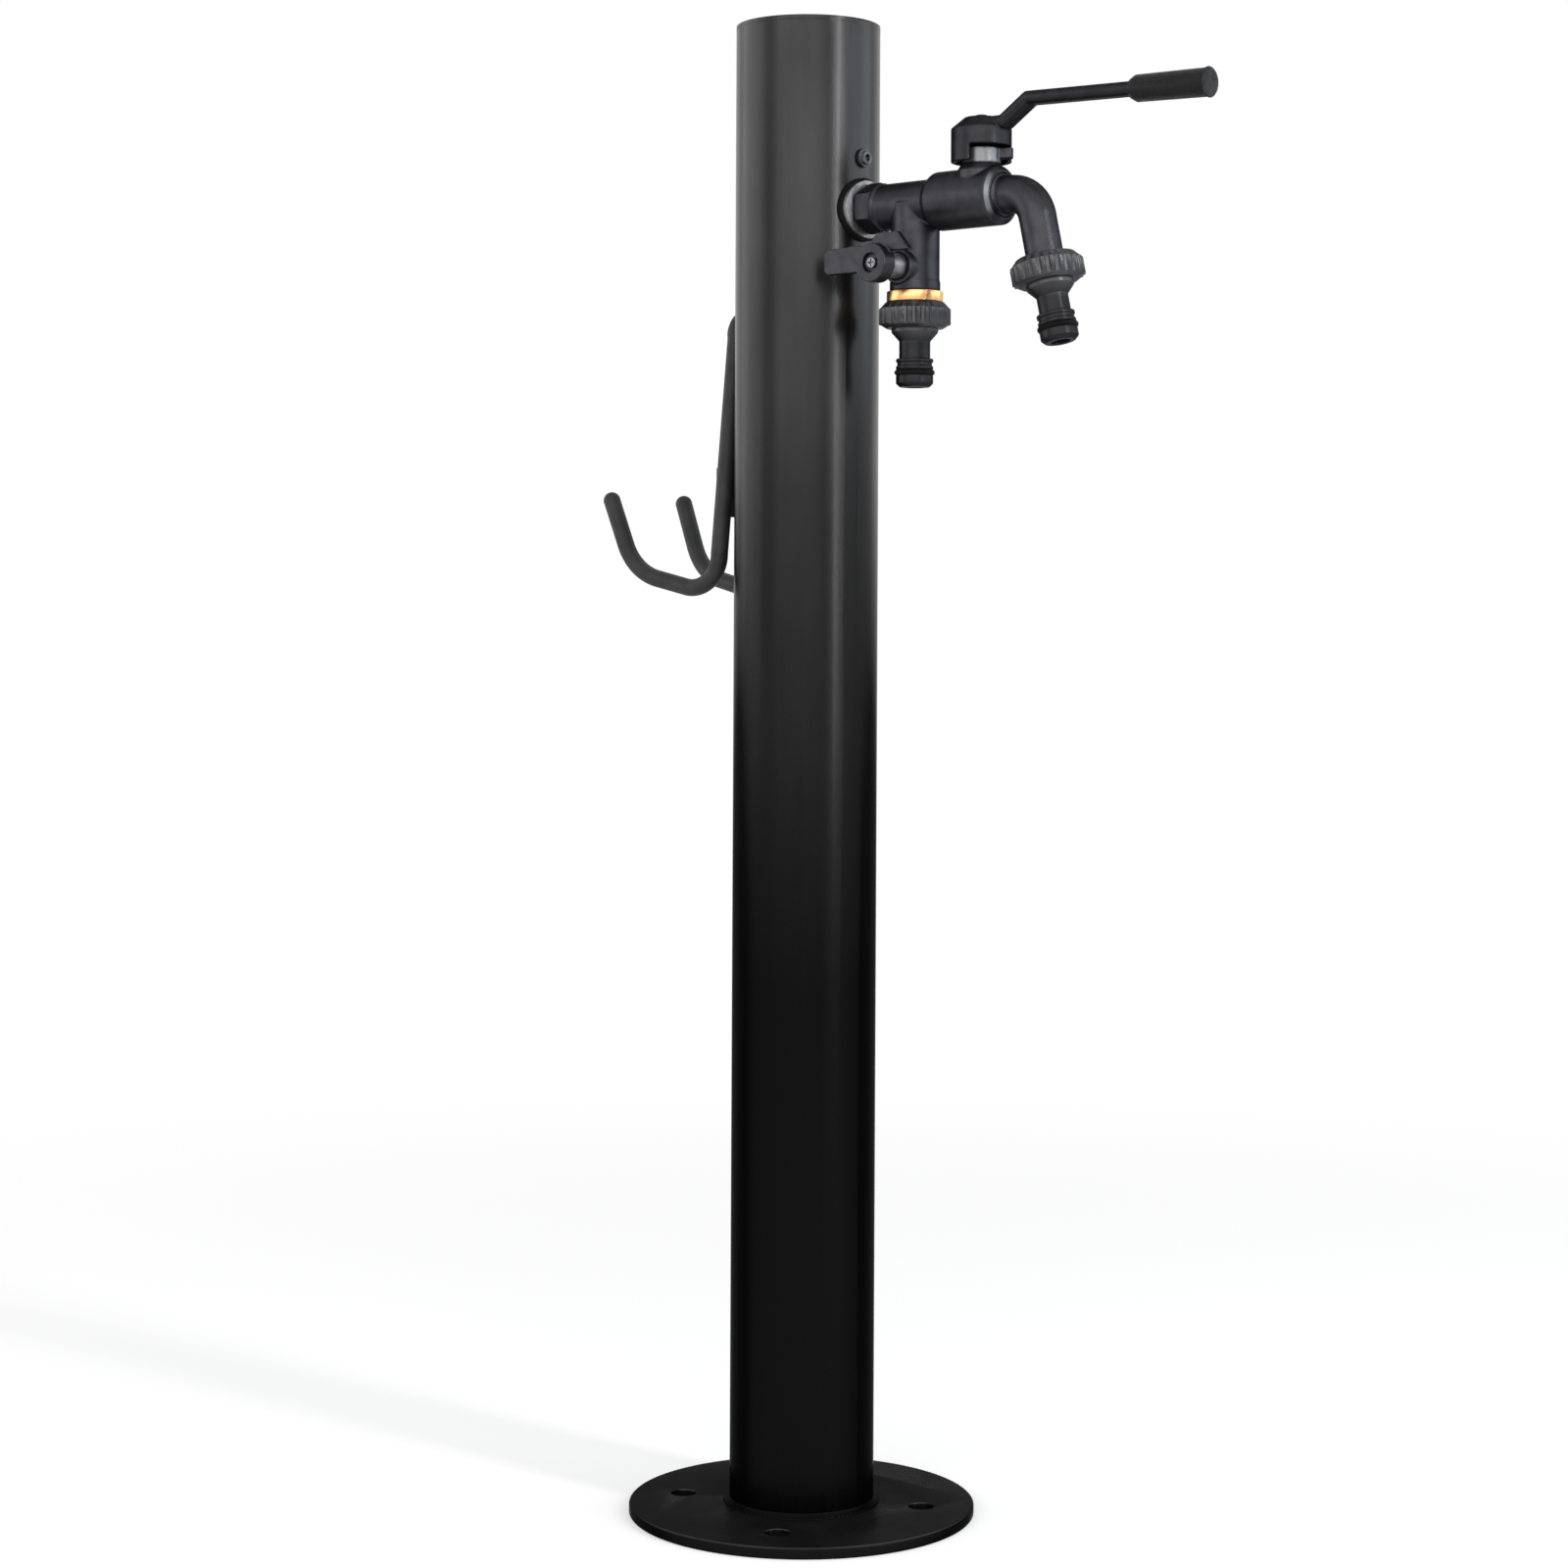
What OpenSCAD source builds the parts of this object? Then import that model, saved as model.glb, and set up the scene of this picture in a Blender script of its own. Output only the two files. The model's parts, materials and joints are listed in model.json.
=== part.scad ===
// Garden standpipe: a round steel post on a base plate, with a two-way ball tap
// and a hose hanger. The frame is +Z up, the origin is the centre of the base
// plate's underside, the tap leans out along +X and the hanger is on -X.

/* [Post and base plate] */
// Height of the whole standpipe
post_h = 784; // [700:1:950]
// Outer diameter of the post
post_d = 76.1; // [74:0.1:84]
// Wall of the post
post_wall = 2.9; // [2:0.1:4]
// Diameter of the base plate
plate_d = 182; // [176:1:240]
// Thickness of the base plate
plate_t = 6; // [5:0.5:8]
// Rounding of the base plate's rim
plate_edge = 0.8; // [0.4:0.1:1.5]
// Pitch circle of the base plate's bolt holes
bolt_pcd = 128; // [120:1:134]
// Diameter of a bolt hole
bolt_hole_d = 13.5; // [9:0.5:14]
// Bolt holes in the base plate
bolt_count = 4; // [3:1:6]
// Turn of the first bolt hole from the tap's side
bolt_turn = 30; // [0:1:60]
// Hole in the base plate where the supply pipe comes in
entry_d = 50; // [44:1:60]
// Leg of the weld bead at the post's foot
weld_leg = 3.2; // [2:0.1:5]

/* [Top cap] */
// Thickness of the top cap's lid
cap_t = 2.5; // [2:0.1:4]
// Depth of the cap's plug in the post
cap_plug_h = 14; // [8:1:20]
// Wall of the cap's plug
cap_plug_wall = 2; // [1.5:0.1:3]
// Ribs across the cap's plug
cap_ribs = 3; // [2:1:6]

/* [Tap mounting] */
// Distance from the post's top down to the tap's axis
tap_drop = 99.5; // [90:0.5:130]
// Diameter of the rubber ring at the post
grommet_d = 33; // [32:0.5:38]
// Thickness of the rubber ring, which follows the post's curve
grommet_t = 2; // [1.5:0.1:4]
// Diameter of the curved steel washer
washer_d = 30; // [28:0.5:32]
// Thickness of the steel washer
washer_t = 2; // [1:0.1:2.5]
// Width across the lock nut's flats
locknut_af = 23; // [22.5:0.5:26]
// Length of the lock nut
locknut_l = 9.5; // [6:0.5:12]
// Diameter of the tap's inlet thread
tail_d = 20.96; // [20:0.01:21.2]
// Diameter of the waterway
waterway_d = 14; // [12:0.5:15]

/* [Inlet tube and branch] */
// Diameter of the inlet tube
tee_d = 23.8; // [23:0.1:25]
// Length of the inlet tube
tee_l = 34.5; // [32:0.5:40]
// Collar at the inlet tube's start, how far it stands out
tee_collar_out = 0.7; // [0.4:0.1:1.2]
// Collar at the inlet tube's start, its length
tee_collar_l = 2; // [1:0.5:4]
// Distance from the inlet tube's start to the branch's axis
branch_in = 21.8; // [20:0.1:21.8]
// Diameter of the branch
branch_d = 25.2; // [24:0.1:25.2]
// Length of the branch below the tap's axis
branch_l = 45; // [44.5:0.5:50]
// Diameter of the branch's collar at its outlet
branch_collar_d = 26; // [26:0.2:28]
// Height of the branch's collar
branch_collar_h = 5; // [3:0.5:7]

/* [Main valve] */
// Diameter of the main valve's barrel
valve_d = 30; // [29:0.5:34]
// Length of the main valve's barrel
valve_l = 45; // [45:0.5:50]
// Length of the cone between inlet tube and barrel
valve_cone_l = 4; // [2:0.5:6]
// Chamfer at the barrel's outlet end
valve_chamfer = 2.8; // [1:0.1:3]
// Distance from the barrel's start to the main stem's axis
stem_in = 30; // [29:0.5:31]
// Diameter of the main ball
ball_d = 19; // [18:0.1:19.5]
// Diameter of the hole through the main ball
ball_bore_d = 13; // [11:0.5:13.5]
// Diameter of the boss under the main lever
boss_d = 24.7; // [22:0.1:25]
// Height of the boss above the tap's axis
boss_h = 17; // [16.5:0.5:20]
// Diameter of the neck round the main gland
stem_neck_d = 19.8; // [18.5:0.1:20.5]
// Diameter of the main gland
gland_d = 15; // [13.5:0.1:15.5]
// Diameter of the main stem
stem_d = 7; // [6:0.1:8]

/* [Main lever] */
// Diameter of the lever's hub
hub_d = 30.8; // [29:0.1:34]
// Wall of the hub's skirt
hub_wall = 2.5; // [1.8:0.1:3]
// Height of the hub's skirt window
hub_window_h = 8; // [7.5:0.1:10]
// Height of the hub from the skirt's lower edge to its shoulder
hub_side_h = 17.1; // [15:0.1:20]
// Height of the hub's sloped crown
hub_crown_h = 5.8; // [4:0.1:8]
// Diameter of the hub's crown at its top
hub_top_d = 17; // [15:0.5:20]
// Angle from the lever's arm to the stop lug in the open position
stop_angle = 27; // [20:1:35]
// Angle through which the lever turns
lever_turn = 90; // [60:1:95]
// Arm's thickness
arm_t = 6.8; // [5:0.1:9]
// Arm's width
arm_w = 12; // [10:0.5:16]
// Distance from the stem's axis to the arm's upper bend
arm_bend_x = 31; // [28:0.5:36]
// Height of the arm's upper bend above the hub's shoulder
arm_bend_z = 12.4; // [8:0.1:16]
// Distance from the stem's axis to the grip's start
grip_start = 93; // [70:0.5:120]
// Length of the grip
grip_l = 45; // [35:0.5:70]
// Droop of the arm from level
arm_droop = 1.8; // [0:0.1:4]
// Grip's diameter at its start
grip_d1 = 13.4; // [12:0.1:18]
// Grip's diameter at its end
grip_d2 = 15; // [12:0.1:20]

/* [Spout] */
// Diameter of the spout's tube
spout_d = 19; // [17:0.1:20]
// Straight length before the bend
spout_lead = 5; // [3:0.5:10]
// Radius of the spout's bend
spout_bend_r = 16; // [14:0.5:22]
// Tilt of the spout's outlet from plumb
spout_tilt = 13; // [5:1:20]
// Straight length after the bend
spout_run = 21.5; // [14:0.5:30]

/* [Branch valve] */
// Distance from the tap's axis down to the branch stem's axis
wing_drop = 33; // [32.5:0.1:33.5]
// Diameter of the branch ball
small_ball_d = 16; // [15:0.1:16.4]
// Diameter of the hole through the branch ball
small_bore_d = 10; // [8:0.5:11]
// Diameter of the seat for the branch gland
small_boss_d = 18; // [16:0.5:19]
// How far that seat stands out of the branch
small_boss_out = 2.2; // [1:0.1:4]
// Diameter of the branch gland
small_gland_d = 13; // [11:0.1:13]
// Length of the branch gland in front of its seat
small_gland_out = 12.7; // [11:0.1:18]
// Diameter of the branch stem
small_stem_d = 5; // [4.5:0.1:6]

/* [Wing lever] */
// Diameter of the wing lever's hub
wing_hub_d = 19.6; // [18:0.1:21]
// Thickness of the wing lever's hub
wing_hub_t = 8.6; // [7:0.1:11]
// Reach of the wing from the stem's axis
wing_l = 30.4; // [24:0.1:33]
// Height of the wing at its end
wing_h = 12.6; // [9:0.1:14]
// Thickness of the wing
wing_t = 5; // [4:0.1:7]
// Width of the stop lug at its foot
lug_foot = 29; // [22:0.5:30]
// Width of the stop lug at its top
lug_top = 13.5; // [12:0.5:18]
// Distance from the stem's axis to the lug's top
lug_r = 15.4; // [12:0.1:16]
// Shift of the stop lug away from the wing
lug_shift = 6.6; // [0:0.1:7]
// Thickness of the stop lug
lug_t = 3.4; // [2.5:0.1:4]

/* [Hose connectors] */
// Diameter of the connector's thread
thread_d = 26.44; // [26:0.01:27]
// Length of thread inside the connector's nut
thread_l = 9; // [8:0.5:10]
// Height of the brass nipple's collar, between the branch and the lower connector
thread_bare = 5.5; // [3:0.5:8]
// Diameter of that collar
nipple_collar_d = 29; // [28.5:0.1:31]
// Diameter of the connector's nut
nut_d = 35.6; // [34:0.1:40]
// Height of the connector's nut
nut_h = 13.5; // [13:0.5:18]
// Grip ribs round the nut
nut_ribs = 24; // [16:1:32]
// How far a grip rib stands out
nut_rib_out = 0.7; // [0.4:0.1:1.2]
// Diameter of the collar under the nut
collar_d = 24; // [22:0.5:26]
// Height of the collar under the nut
collar_h = 6.5; // [4:0.5:9]
// Diameter of the connector's neck
neck_d = 16; // [14.5:0.1:17]
// Height of the connector's neck
neck_h = 9; // [7:0.5:12]
// Diameter of the connector's nose
nose_d = 19.2; // [18.5:0.1:20]
// Height of the connector's nose
nose_h = 14.5; // [13:0.5:18]
// Diameter of the connector's waterway
nose_bore_d = 9.5; // [8:0.5:11]

/* [Elbow and riser in the post] */
// Width of the elbow's backplate
backplate_w = 26; // [24:0.5:30]
// Height of the elbow's backplate
backplate_h = 72; // [66:1:80]
// Thickness of the elbow's backplate at its middle
backplate_t = 5; // [4:0.5:7]
// Diameter of the elbow's body
elbow_d = 28; // [27:0.5:30]
// Depth of the elbow's threaded socket
socket_l = 17; // [14:0.5:20]
// Height of the elbow's leg below its axis
elbow_leg = 34; // [30:0.5:45]
// Distance of the fixing screws above and below the tap's axis
fixing_up = 27; // [24:0.5:29]
// Diameter of the fixing screws
fixing_d = 6; // [5:0.5:6.5]
// Diameter of a fixing screw's head
fixing_head_d = 10; // [9:0.1:11]
// Outer diameter of the riser pipe
riser_d = 16; // [15:0.5:18]
// Wall of the riser pipe
riser_wall = 2; // [1.5:0.1:2.5]
// Width across flats of the riser's nuts
riser_nut_af = 24; // [24:0.5:27]
// Height of the riser's thread end above the ground
inlet_up = 8; // [7:0.5:30]
// Length of the riser's threaded end
inlet_l = 20; // [15:1:25]

/* [Hose hanger] */
// Diameter of the hanger's rod
rod_d = 9.2; // [8:0.1:10]
// Distance from the post's top to the middle of the hanger's arch
hanger_drop = 160; // [150:1:200]
// Radius of the arch at the rod's middle
arch_r = 8.4; // [8.2:0.1:10]
// Height from the arch's middle to the foot of the legs
leg_h = 118; // [100:1:150]
// Half of the distance between the legs at their foot
leg_spread = 21; // [18:0.5:24]
// Outward turn of each hook
hook_turn = 6; // [0:1:12]
// Radius of the hook's inner bend
hook_bend_r = 18; // [15:0.5:25]
// Straight length under the hook
hook_run = 20; // [15:0.5:40]
// Rise of that straight length from level
hook_rise = 13; // [1:1:20]
// Radius of the hook's outer bend
hook_tip_r = 31; // [20:0.5:40]
// Lean of the hook's tip from plumb
hook_lean = 22; // [10:1:35]
// Straight length of the hook's tip
hook_tip_l = 26; // [15:0.5:50]
// Distance from the arch's middle to the clamp plate's middle
clamp_drop = 85; // [70:1:95]
// Width of the clamp plate
clamp_w = 32; // [30:0.5:40]
// Height of the clamp plate
clamp_h = 26; // [22:0.5:32]
// Thickness of the clamp plate
clamp_t = 2.5; // [2:0.1:4]
// Diameter of the hanger's washer
hanger_washer_d = 18; // [17:0.5:22]
// Thickness of the hanger's washer
hanger_washer_t = 1.6; // [1:0.1:2.5]

/* [Hidden] */
$fn = 96;

// Clearance between fitted pieces that don't move
fit = 0.1;
// Radial clearance of a stem in its gland
run = 0.08;
// Gap between pieces that move past each other
gap = 0.3;
// Overrun of every cut
cut = 1;
// How far a knuckle stands out where a bend meets a straight stretch
knuckle_out = 0.05;

// Colours
black = [0.07, 0.07, 0.075];
tap_black = [0.13, 0.13, 0.14];
plastic_black = [0.17, 0.17, 0.18];
rubber_black = [0.05, 0.05, 0.05];
hanger_grey = [0.24, 0.24, 0.24];
steel = [0.66, 0.66, 0.68];
brass = [0.82, 0.62, 0.28];
seat_white = [0.92, 0.92, 0.9];
pipe_white = [0.88, 0.88, 0.86];

// Post and plate
post_r = post_d / 2;
post_ri = post_r - post_wall;
tube_top = post_h - cap_t;
cap_rib_t = cap_plug_wall;

// Tap mounting, along the tap's axis
tap_z = post_h - tap_drop;
tail_r = tail_d / 2;
waterway_r = waterway_d / 2;
grommet_r = grommet_d / 2;
washer_back_r = post_r + grommet_t;
locknut_x = washer_back_r + washer_t;
locknut_chamfer = locknut_l * 0.12;
tee_x = locknut_x + locknut_l;
post_tap_hole_r = tail_r + 5 * fit;

// Elbow inside the post
backplate_x = post_ri - fit - backplate_t;
socket_end_x = backplate_x + backplate_t - socket_l;
elbow_seal_t = post_wall * 0.6;
tail_end_x = socket_end_x + elbow_seal_t + fit;

// Inlet tube and branch
tee_r = tee_d / 2;
valve_x = tee_x + tee_l;
branch_x = tee_x + branch_in;
branch_r = branch_d / 2;
branch_collar_r = branch_collar_d / 2;
branch_collar_cone = branch_collar_r - branch_r;

// Main valve
valve_r = valve_d / 2;
stem_x = valve_x + stem_in;
valve_end_x = valve_x + valve_l;
ball_r = ball_d / 2;
ball_bore_r = ball_bore_d / 2;
chamber_wall = valve_r * 0.25;
chamber_r = valve_r - chamber_wall;
seat_out = ball_r + gap;
seat_in = sqrt(pow(ball_r, 2) - pow(ball_bore_r, 2)) - gap;
seat_end = seat_out + 4 * gap;
stem_r = stem_d / 2;
gland_r = gland_d / 2;
boss_r = boss_d / 2;
stem_neck_r = stem_neck_d / 2;
stem_collar_r = (stem_r + gland_r) / 2;
stem_collar_z = ball_r + fit;
gland_z = stem_collar_z + stem_r * 0.8;
tang_t = stem_r * 0.9;
tang_h = stem_r;
oring_t = stem_r * 0.22;

// Main lever
hub_r = hub_d / 2;
hub_bottom_z = boss_h + gap;
hub_roof_z = hub_bottom_z + hub_window_h;
hub_shoulder_z = hub_bottom_z + hub_side_h;
hub_top_z = hub_shoulder_z + hub_crown_h;
hub_bore_r = hub_r - hub_wall;
gland_top_z = hub_roof_z - gap;
neck_top_z = hub_roof_z - 2 * gap;
boss_flare_h = (boss_r - stem_neck_r) * 1.6;
stem_square = stem_d * 0.68;
stem_top_z = hub_top_z - stem_r * 0.6;
stop_w = hub_wall * 2.1;
stop_h = hub_window_h * 0.72;
stop_reach = hub_r + 2 * gap;
stop_play = 2;
stop_angle_half = asin(stop_w / 2 / hub_bore_r) + stop_play;
screw_head_h = hub_crown_h * 0.22;
screw_head_r = hub_top_d * 0.25;
screw_shank_r = stem_r * 0.5;
screw_shank_l = stem_square * 2.2;
arm_start_x = hub_top_d / 4;
arm_root_x = hub_r;
arm_root_z = hub_top_z - arm_t / 2 - gap;
bend_z = hub_shoulder_z + arm_bend_z;
grip_flare = grip_d2 * 0.03;
grip_neck_l = grip_l * 0.07;
core_l = grip_l * 0.75;

// Spout
spout_r = spout_d / 2;
spout_plug_x = stem_x + seat_end;
bend_x = valve_end_x + spout_lead;
bend_turn = 90 - spout_tilt;
spout_bore_r = spout_r * 0.72;

// Branch valve
wing_z = -wing_drop;
small_ball_r = small_ball_d / 2;
small_bore_r = small_bore_d / 2;
small_chamber_r = branch_r - (branch_r - small_ball_r) * 0.65;
small_seat_out = small_ball_r + gap;
small_seat_in = sqrt(pow(small_ball_r, 2) - pow(small_bore_r, 2)) - gap;
small_seat_end = small_seat_out + 3 * gap;
small_stem_r = small_stem_d / 2;
small_gland_r = small_gland_d / 2;
small_boss_y = branch_r + small_boss_out;
small_collar_y = small_ball_r + fit;
small_gland_y = small_collar_y + small_stem_r * 0.8;
small_gland_end = small_boss_y + small_gland_out;
small_tang_t = small_stem_r * 0.9;
small_tang_h = small_stem_r;
small_square = small_stem_d * 0.68;
small_oring_t = small_stem_r * 0.22;

// Wing lever
wing_hub_r = wing_hub_d / 2;
wing_hub_y = small_gland_end + gap;
wing_front_y = wing_hub_y + wing_hub_t;
wing_recess_r = wing_hub_r * 0.5;
wing_recess_h = wing_hub_t * 0.3;
wing_top = wing_hub_r * 0.83;
wing_corner = wing_h * 0.16;
wing_screw_r = wing_recess_r * 0.56;
wing_screw_h = wing_recess_h * 0.75;
wing_shank_r = small_stem_r * 0.45;
wing_shank_l = wing_hub_t * 0.8;
small_stem_end = wing_front_y - wing_recess_h - wing_screw_h * 0.5;

// Connectors, drawn hanging from the top of their thread
thread_r = thread_d / 2;
nipple_collar_r = nipple_collar_d / 2;
nut_r = nut_d / 2;
nut_bevel = nut_h * 0.25;
nut_roof = thread_l + thread_d * 0.06;
rib_w = nut_r * 2 * PI / nut_ribs * 0.45;
collar_r = collar_d / 2;
collar_cone = collar_h * 0.35;
neck_r = neck_d / 2;
nose_r = nose_d / 2;
nose_bore_r = nose_bore_d / 2;
nose_z = nut_h + collar_h + neck_h;
nose_end = nose_z + nose_h;
groove_depth = (nose_r - nose_bore_r) * 0.42;
groove_h = nose_h * 0.2;
groove_z = nose_z + nose_h * 0.38;
nose_chamfer = nose_h * 0.13;
nose_ring_h = nose_h * 0.12;
nose_waist = nose_r - (nose_r - neck_r) * 0.4;
lower_thread_z = tap_z - branch_l - thread_bare;

// Elbow and riser
elbow_r = elbow_d / 2;
fixing_r = fixing_d / 2;
fixing_head_r = fixing_head_d / 2;
fixing_head_h = fixing_d * 0.55;
socket_hex_r = fixing_r * 0.62;
socket_hex_h = fixing_head_h * 0.6;
fixing_l = post_wall + backplate_t;
riser_r = riser_d / 2;
riser_ri = riser_r - riser_wall;
leg_end_z = tap_z - elbow_leg;
leg_bore_l = elbow_leg * 0.35;
riser_top_z = leg_end_z + leg_bore_l - fit;
riser_nut_h = riser_nut_af * 0.5;
inlet_top_z = inlet_up + inlet_l;
riser_foot_z = inlet_top_z + riser_nut_h * 0.4;

// Hanger
rod_r = rod_d / 2;
rod_x = -(post_r + rod_r + fit);
arch_z = post_h - hanger_drop;
leg_foot_z = arch_z - leg_h;
leg_lean = atan((leg_spread - arch_r) / leg_h);
leg_l = sqrt(pow(leg_spread - arch_r, 2) + pow(leg_h, 2));
clamp_z = arch_z - clamp_drop;
clamp_x = rod_x - rod_r - fit;
hanger_screw_r = fixing_r;
rivet_r = hanger_screw_r * 1.5;
rivet_flange_r = rivet_r * 1.35;
rivet_flange_t = post_wall * 0.35;
rivet_flange_x = sqrt(pow(post_ri, 2) - pow(rivet_flange_r, 2)) - fit;
rivet_l = post_wall * 4;
washer_plate_x = rod_x - rod_r - fit;

// A cylinder along +X from x0 to x1
module rod_along_x(x0, x1, r) {
    translate([x0, 0, 0]) rotate([0, 90, 0]) cylinder(h = x1 - x0, r = r);
}

// A cylinder towards the front, along -Y, from y0 to y1
module rod_to_front(y0, y1, r) {
    translate([0, -y0, 0]) rotate([90, 0, 0]) cylinder(h = y1 - y0, r = r);
}

// A flat ring standing on z = 0
module ring(h, ro, ri) {
    difference() {
        cylinder(h = h, r = ro);
        translate([0, 0, -cut]) cylinder(h = h + 2 * cut, r = ri);
    }
}

// A hexagonal nut blank with chamfered corners, standing on z = 0
module hex_blank(h, af, chamfer) {
    corner_r = af / sqrt(3);
    intersection() {
        cylinder(h = h, r = corner_r, $fn = 6);
        rotate_extrude() polygon([
            [0, 0], [corner_r - chamfer, 0], [corner_r, chamfer],
            [corner_r, h - chamfer], [corner_r - chamfer, h], [0, h]
        ]);
    }
}

// An O-ring round the Z axis
module oring(mean_r, r) {
    rotate_extrude() translate([mean_r, 0]) circle(r = r);
}

// A torus piece in the XZ plane that starts at the origin along +X and turns down
module bend_down(bend_r, r, angle) {
    translate([0, 0, -bend_r]) rotate([90, 0, 0]) rotate([0, 0, 90 - angle])
        rotate_extrude(angle = angle) translate([bend_r, 0]) circle(r = r);
}

// The knuckle between a bend and a straight stretch of radius r
module knuckle(r) {
    sphere(r = r + knuckle_out);
}

// Places its children on the tap's axis
module at_tap() {
    translate([0, 0, tap_z]) children();
}

// Places its children on the main stem's axis, at the height of the tap's axis
module at_stem() {
    translate([stem_x, 0, tap_z]) children();
}

// Places its children on the branch stem's axis
module at_wing() {
    translate([branch_x, 0, tap_z + wing_z]) children();
}

// Places its children on the spout's outlet, with -Z along the outlet
module at_outlet() {
    translate([bend_x, 0, tap_z - spout_bend_r])
        rotate([0, bend_turn, 0]) translate([0, 0, spout_bend_r])
        rotate([0, -90, 0]) translate([0, 0, -spout_run]) children();
}

// Sector of a circle between two angles, for cutting windows
module sector(r, a0, a1) {
    steps = ceil((a1 - a0) / 30);
    polygon(concat([[0, 0]], [for (i = [0 : steps])
        let (a = a0 + (a1 - a0) * i / steps) [2 * r * cos(a), 2 * r * sin(a)]]));
}

module base_plate() {
    color(black) difference() {
        rotate_extrude() polygon([
            [0, 0], [plate_d / 2 - plate_edge, 0], [plate_d / 2, plate_edge],
            [plate_d / 2, plate_t - plate_edge], [plate_d / 2 - plate_edge, plate_t], [0, plate_t]
        ]);
        translate([0, 0, -cut]) cylinder(h = plate_t + 2 * cut, r = entry_d / 2);
        for (i = [0 : bolt_count - 1]) rotate([0, 0, bolt_turn + 360 * i / bolt_count])
            translate([bolt_pcd / 2, 0, -cut]) cylinder(h = plate_t + 2 * cut, r = bolt_hole_d / 2);
    }
}

module post_tube() {
    color(black) difference() {
        translate([0, 0, plate_t]) ring(tube_top - plate_t, post_r, post_ri);
        at_tap() rod_along_x(0, post_d, post_tap_hole_r);
        for (side = [-1, 1]) translate([0, 0, tap_z + side * fixing_up])
            rod_along_x(0, post_d, fixing_r + fit);
        for (z = [arch_z, clamp_z]) translate([0, 0, z]) rod_along_x(-post_d, 0, rivet_r + fit);
    }
}

module foot_weld() {
    color(black) translate([0, 0, plate_t]) rotate_extrude() difference() {
        translate([post_r + fit / 2, 0]) square(weld_leg);
        translate([post_r + fit / 2 + weld_leg, weld_leg]) circle(r = weld_leg * 0.85);
        polygon([
            [post_r + weld_leg + fit, weld_leg * 0.15], [post_r + weld_leg + fit, weld_leg + fit],
            [post_r + weld_leg * 0.15, weld_leg + fit]
        ]);
    }
}

module top_cap() {
    plug_r = post_ri - fit;
    color(black) {
        translate([0, 0, tube_top]) cylinder(h = cap_t, r = post_r);
        translate([0, 0, tube_top - cap_plug_h]) ring(cap_plug_h, plug_r, plug_r - cap_plug_wall);
        for (i = [0 : cap_ribs - 1]) rotate([0, 0, 180 * i / cap_ribs])
            translate([-plug_r + cap_plug_wall / 2, -cap_rib_t / 2, tube_top - cap_plug_h / 2])
                cube([2 * plug_r - cap_plug_wall, cap_rib_t, cap_plug_h / 2]);
    }
}

// A ring bent round the post between two radii, with the tap's tail through it
module saddle_ring(r_in, r_out, r_rim) {
    difference() {
        intersection() {
            cylinder(h = post_h, r = r_out);
            at_tap() rod_along_x(0, post_d, r_rim);
        }
        cylinder(h = post_h, r = r_in);
        at_tap() rod_along_x(0, post_d, tail_r + fit);
    }
}

module tap_grommet() {
    color(rubber_black) saddle_ring(post_r + fit / 2, washer_back_r, grommet_r);
}

module tap_washer() {
    color(steel) saddle_ring(washer_back_r + fit / 2, locknut_x, washer_d / 2);
}

module inlet_lock_nut() {
    color(tap_black) at_tap() translate([locknut_x, 0, 0]) rotate([0, 90, 0]) difference() {
        hex_blank(locknut_l, locknut_af, locknut_chamfer);
        translate([0, 0, -cut]) cylinder(h = locknut_l + 2 * cut, r = tail_r + fit);
    }
}

// Outer shape of the branch: tube, collar and the seat of its gland
module branch_outside() {
    translate([branch_x, 0, tap_z - branch_l]) rotate_extrude() polygon([
        [0, 0], [branch_collar_r, 0], [branch_collar_r, branch_collar_h],
        [branch_r, branch_collar_h + 2 * branch_collar_cone], [branch_r, branch_l], [0, branch_l]
    ]);
    at_wing() rod_to_front(0, small_boss_y, small_boss_d / 2);
}

module tee_body() {
    color(tap_black) difference() {
        union() {
            at_tap() rod_along_x(tail_end_x, tee_x + cut, tail_r);
            at_tap() rod_along_x(tee_x, valve_x, tee_r);
            at_tap() rod_along_x(tee_x, tee_x + tee_collar_l, tee_r + tee_collar_out);
            branch_outside();
        }
        at_tap() rod_along_x(0, valve_x + cut, waterway_r);
        translate([branch_x, 0, tap_z - branch_l]) cylinder(h = branch_l, r = small_bore_r);
        translate([branch_x, 0, tap_z - branch_l - cut])
            cylinder(h = branch_l + cut + wing_z + small_seat_end, r = small_chamber_r);
        at_wing() rod_to_front(0, small_boss_y + cut, small_gland_r + fit);
    }
}

module valve_body() {
    color(tap_black) difference() {
        union() {
            at_tap() translate([valve_x, 0, 0]) rotate([0, 90, 0]) rotate_extrude() polygon([
                [0, 0], [tee_r + tee_collar_out, 0], [valve_r, valve_cone_l],
                [valve_r, valve_l - valve_chamfer], [valve_r - valve_chamfer, valve_l], [0, valve_l]
            ]);
            at_stem() rotate_extrude() polygon([
                [0, 0], [boss_r, 0], [boss_r, boss_h - boss_flare_h],
                [stem_neck_r, boss_h], [stem_neck_r, neck_top_z], [0, neck_top_z]
            ]);
            at_stem() rotate([0, 0, stop_angle])
                translate([gland_r + 2 * fit, -stop_w / 2, neck_top_z - stop_h])
                cube([stop_reach - gland_r - 2 * fit, stop_w, stop_h]);
        }
        at_tap() rod_along_x(valve_x - cut, valve_end_x, waterway_r);
        at_tap() rod_along_x(stem_x - seat_end, valve_end_x + cut, chamber_r);
        at_stem() cylinder(h = boss_h + hub_side_h, r = gland_r + fit);
    }
}

// The spout's bend with its knuckles, as a solid bar of radius r
module spout_bend(r) {
    translate([bend_x, 0, tap_z]) {
        bend_down(spout_bend_r, r, bend_turn);
        knuckle(r);
    }
    at_outlet() translate([0, 0, spout_run]) knuckle(r);
}

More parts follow.
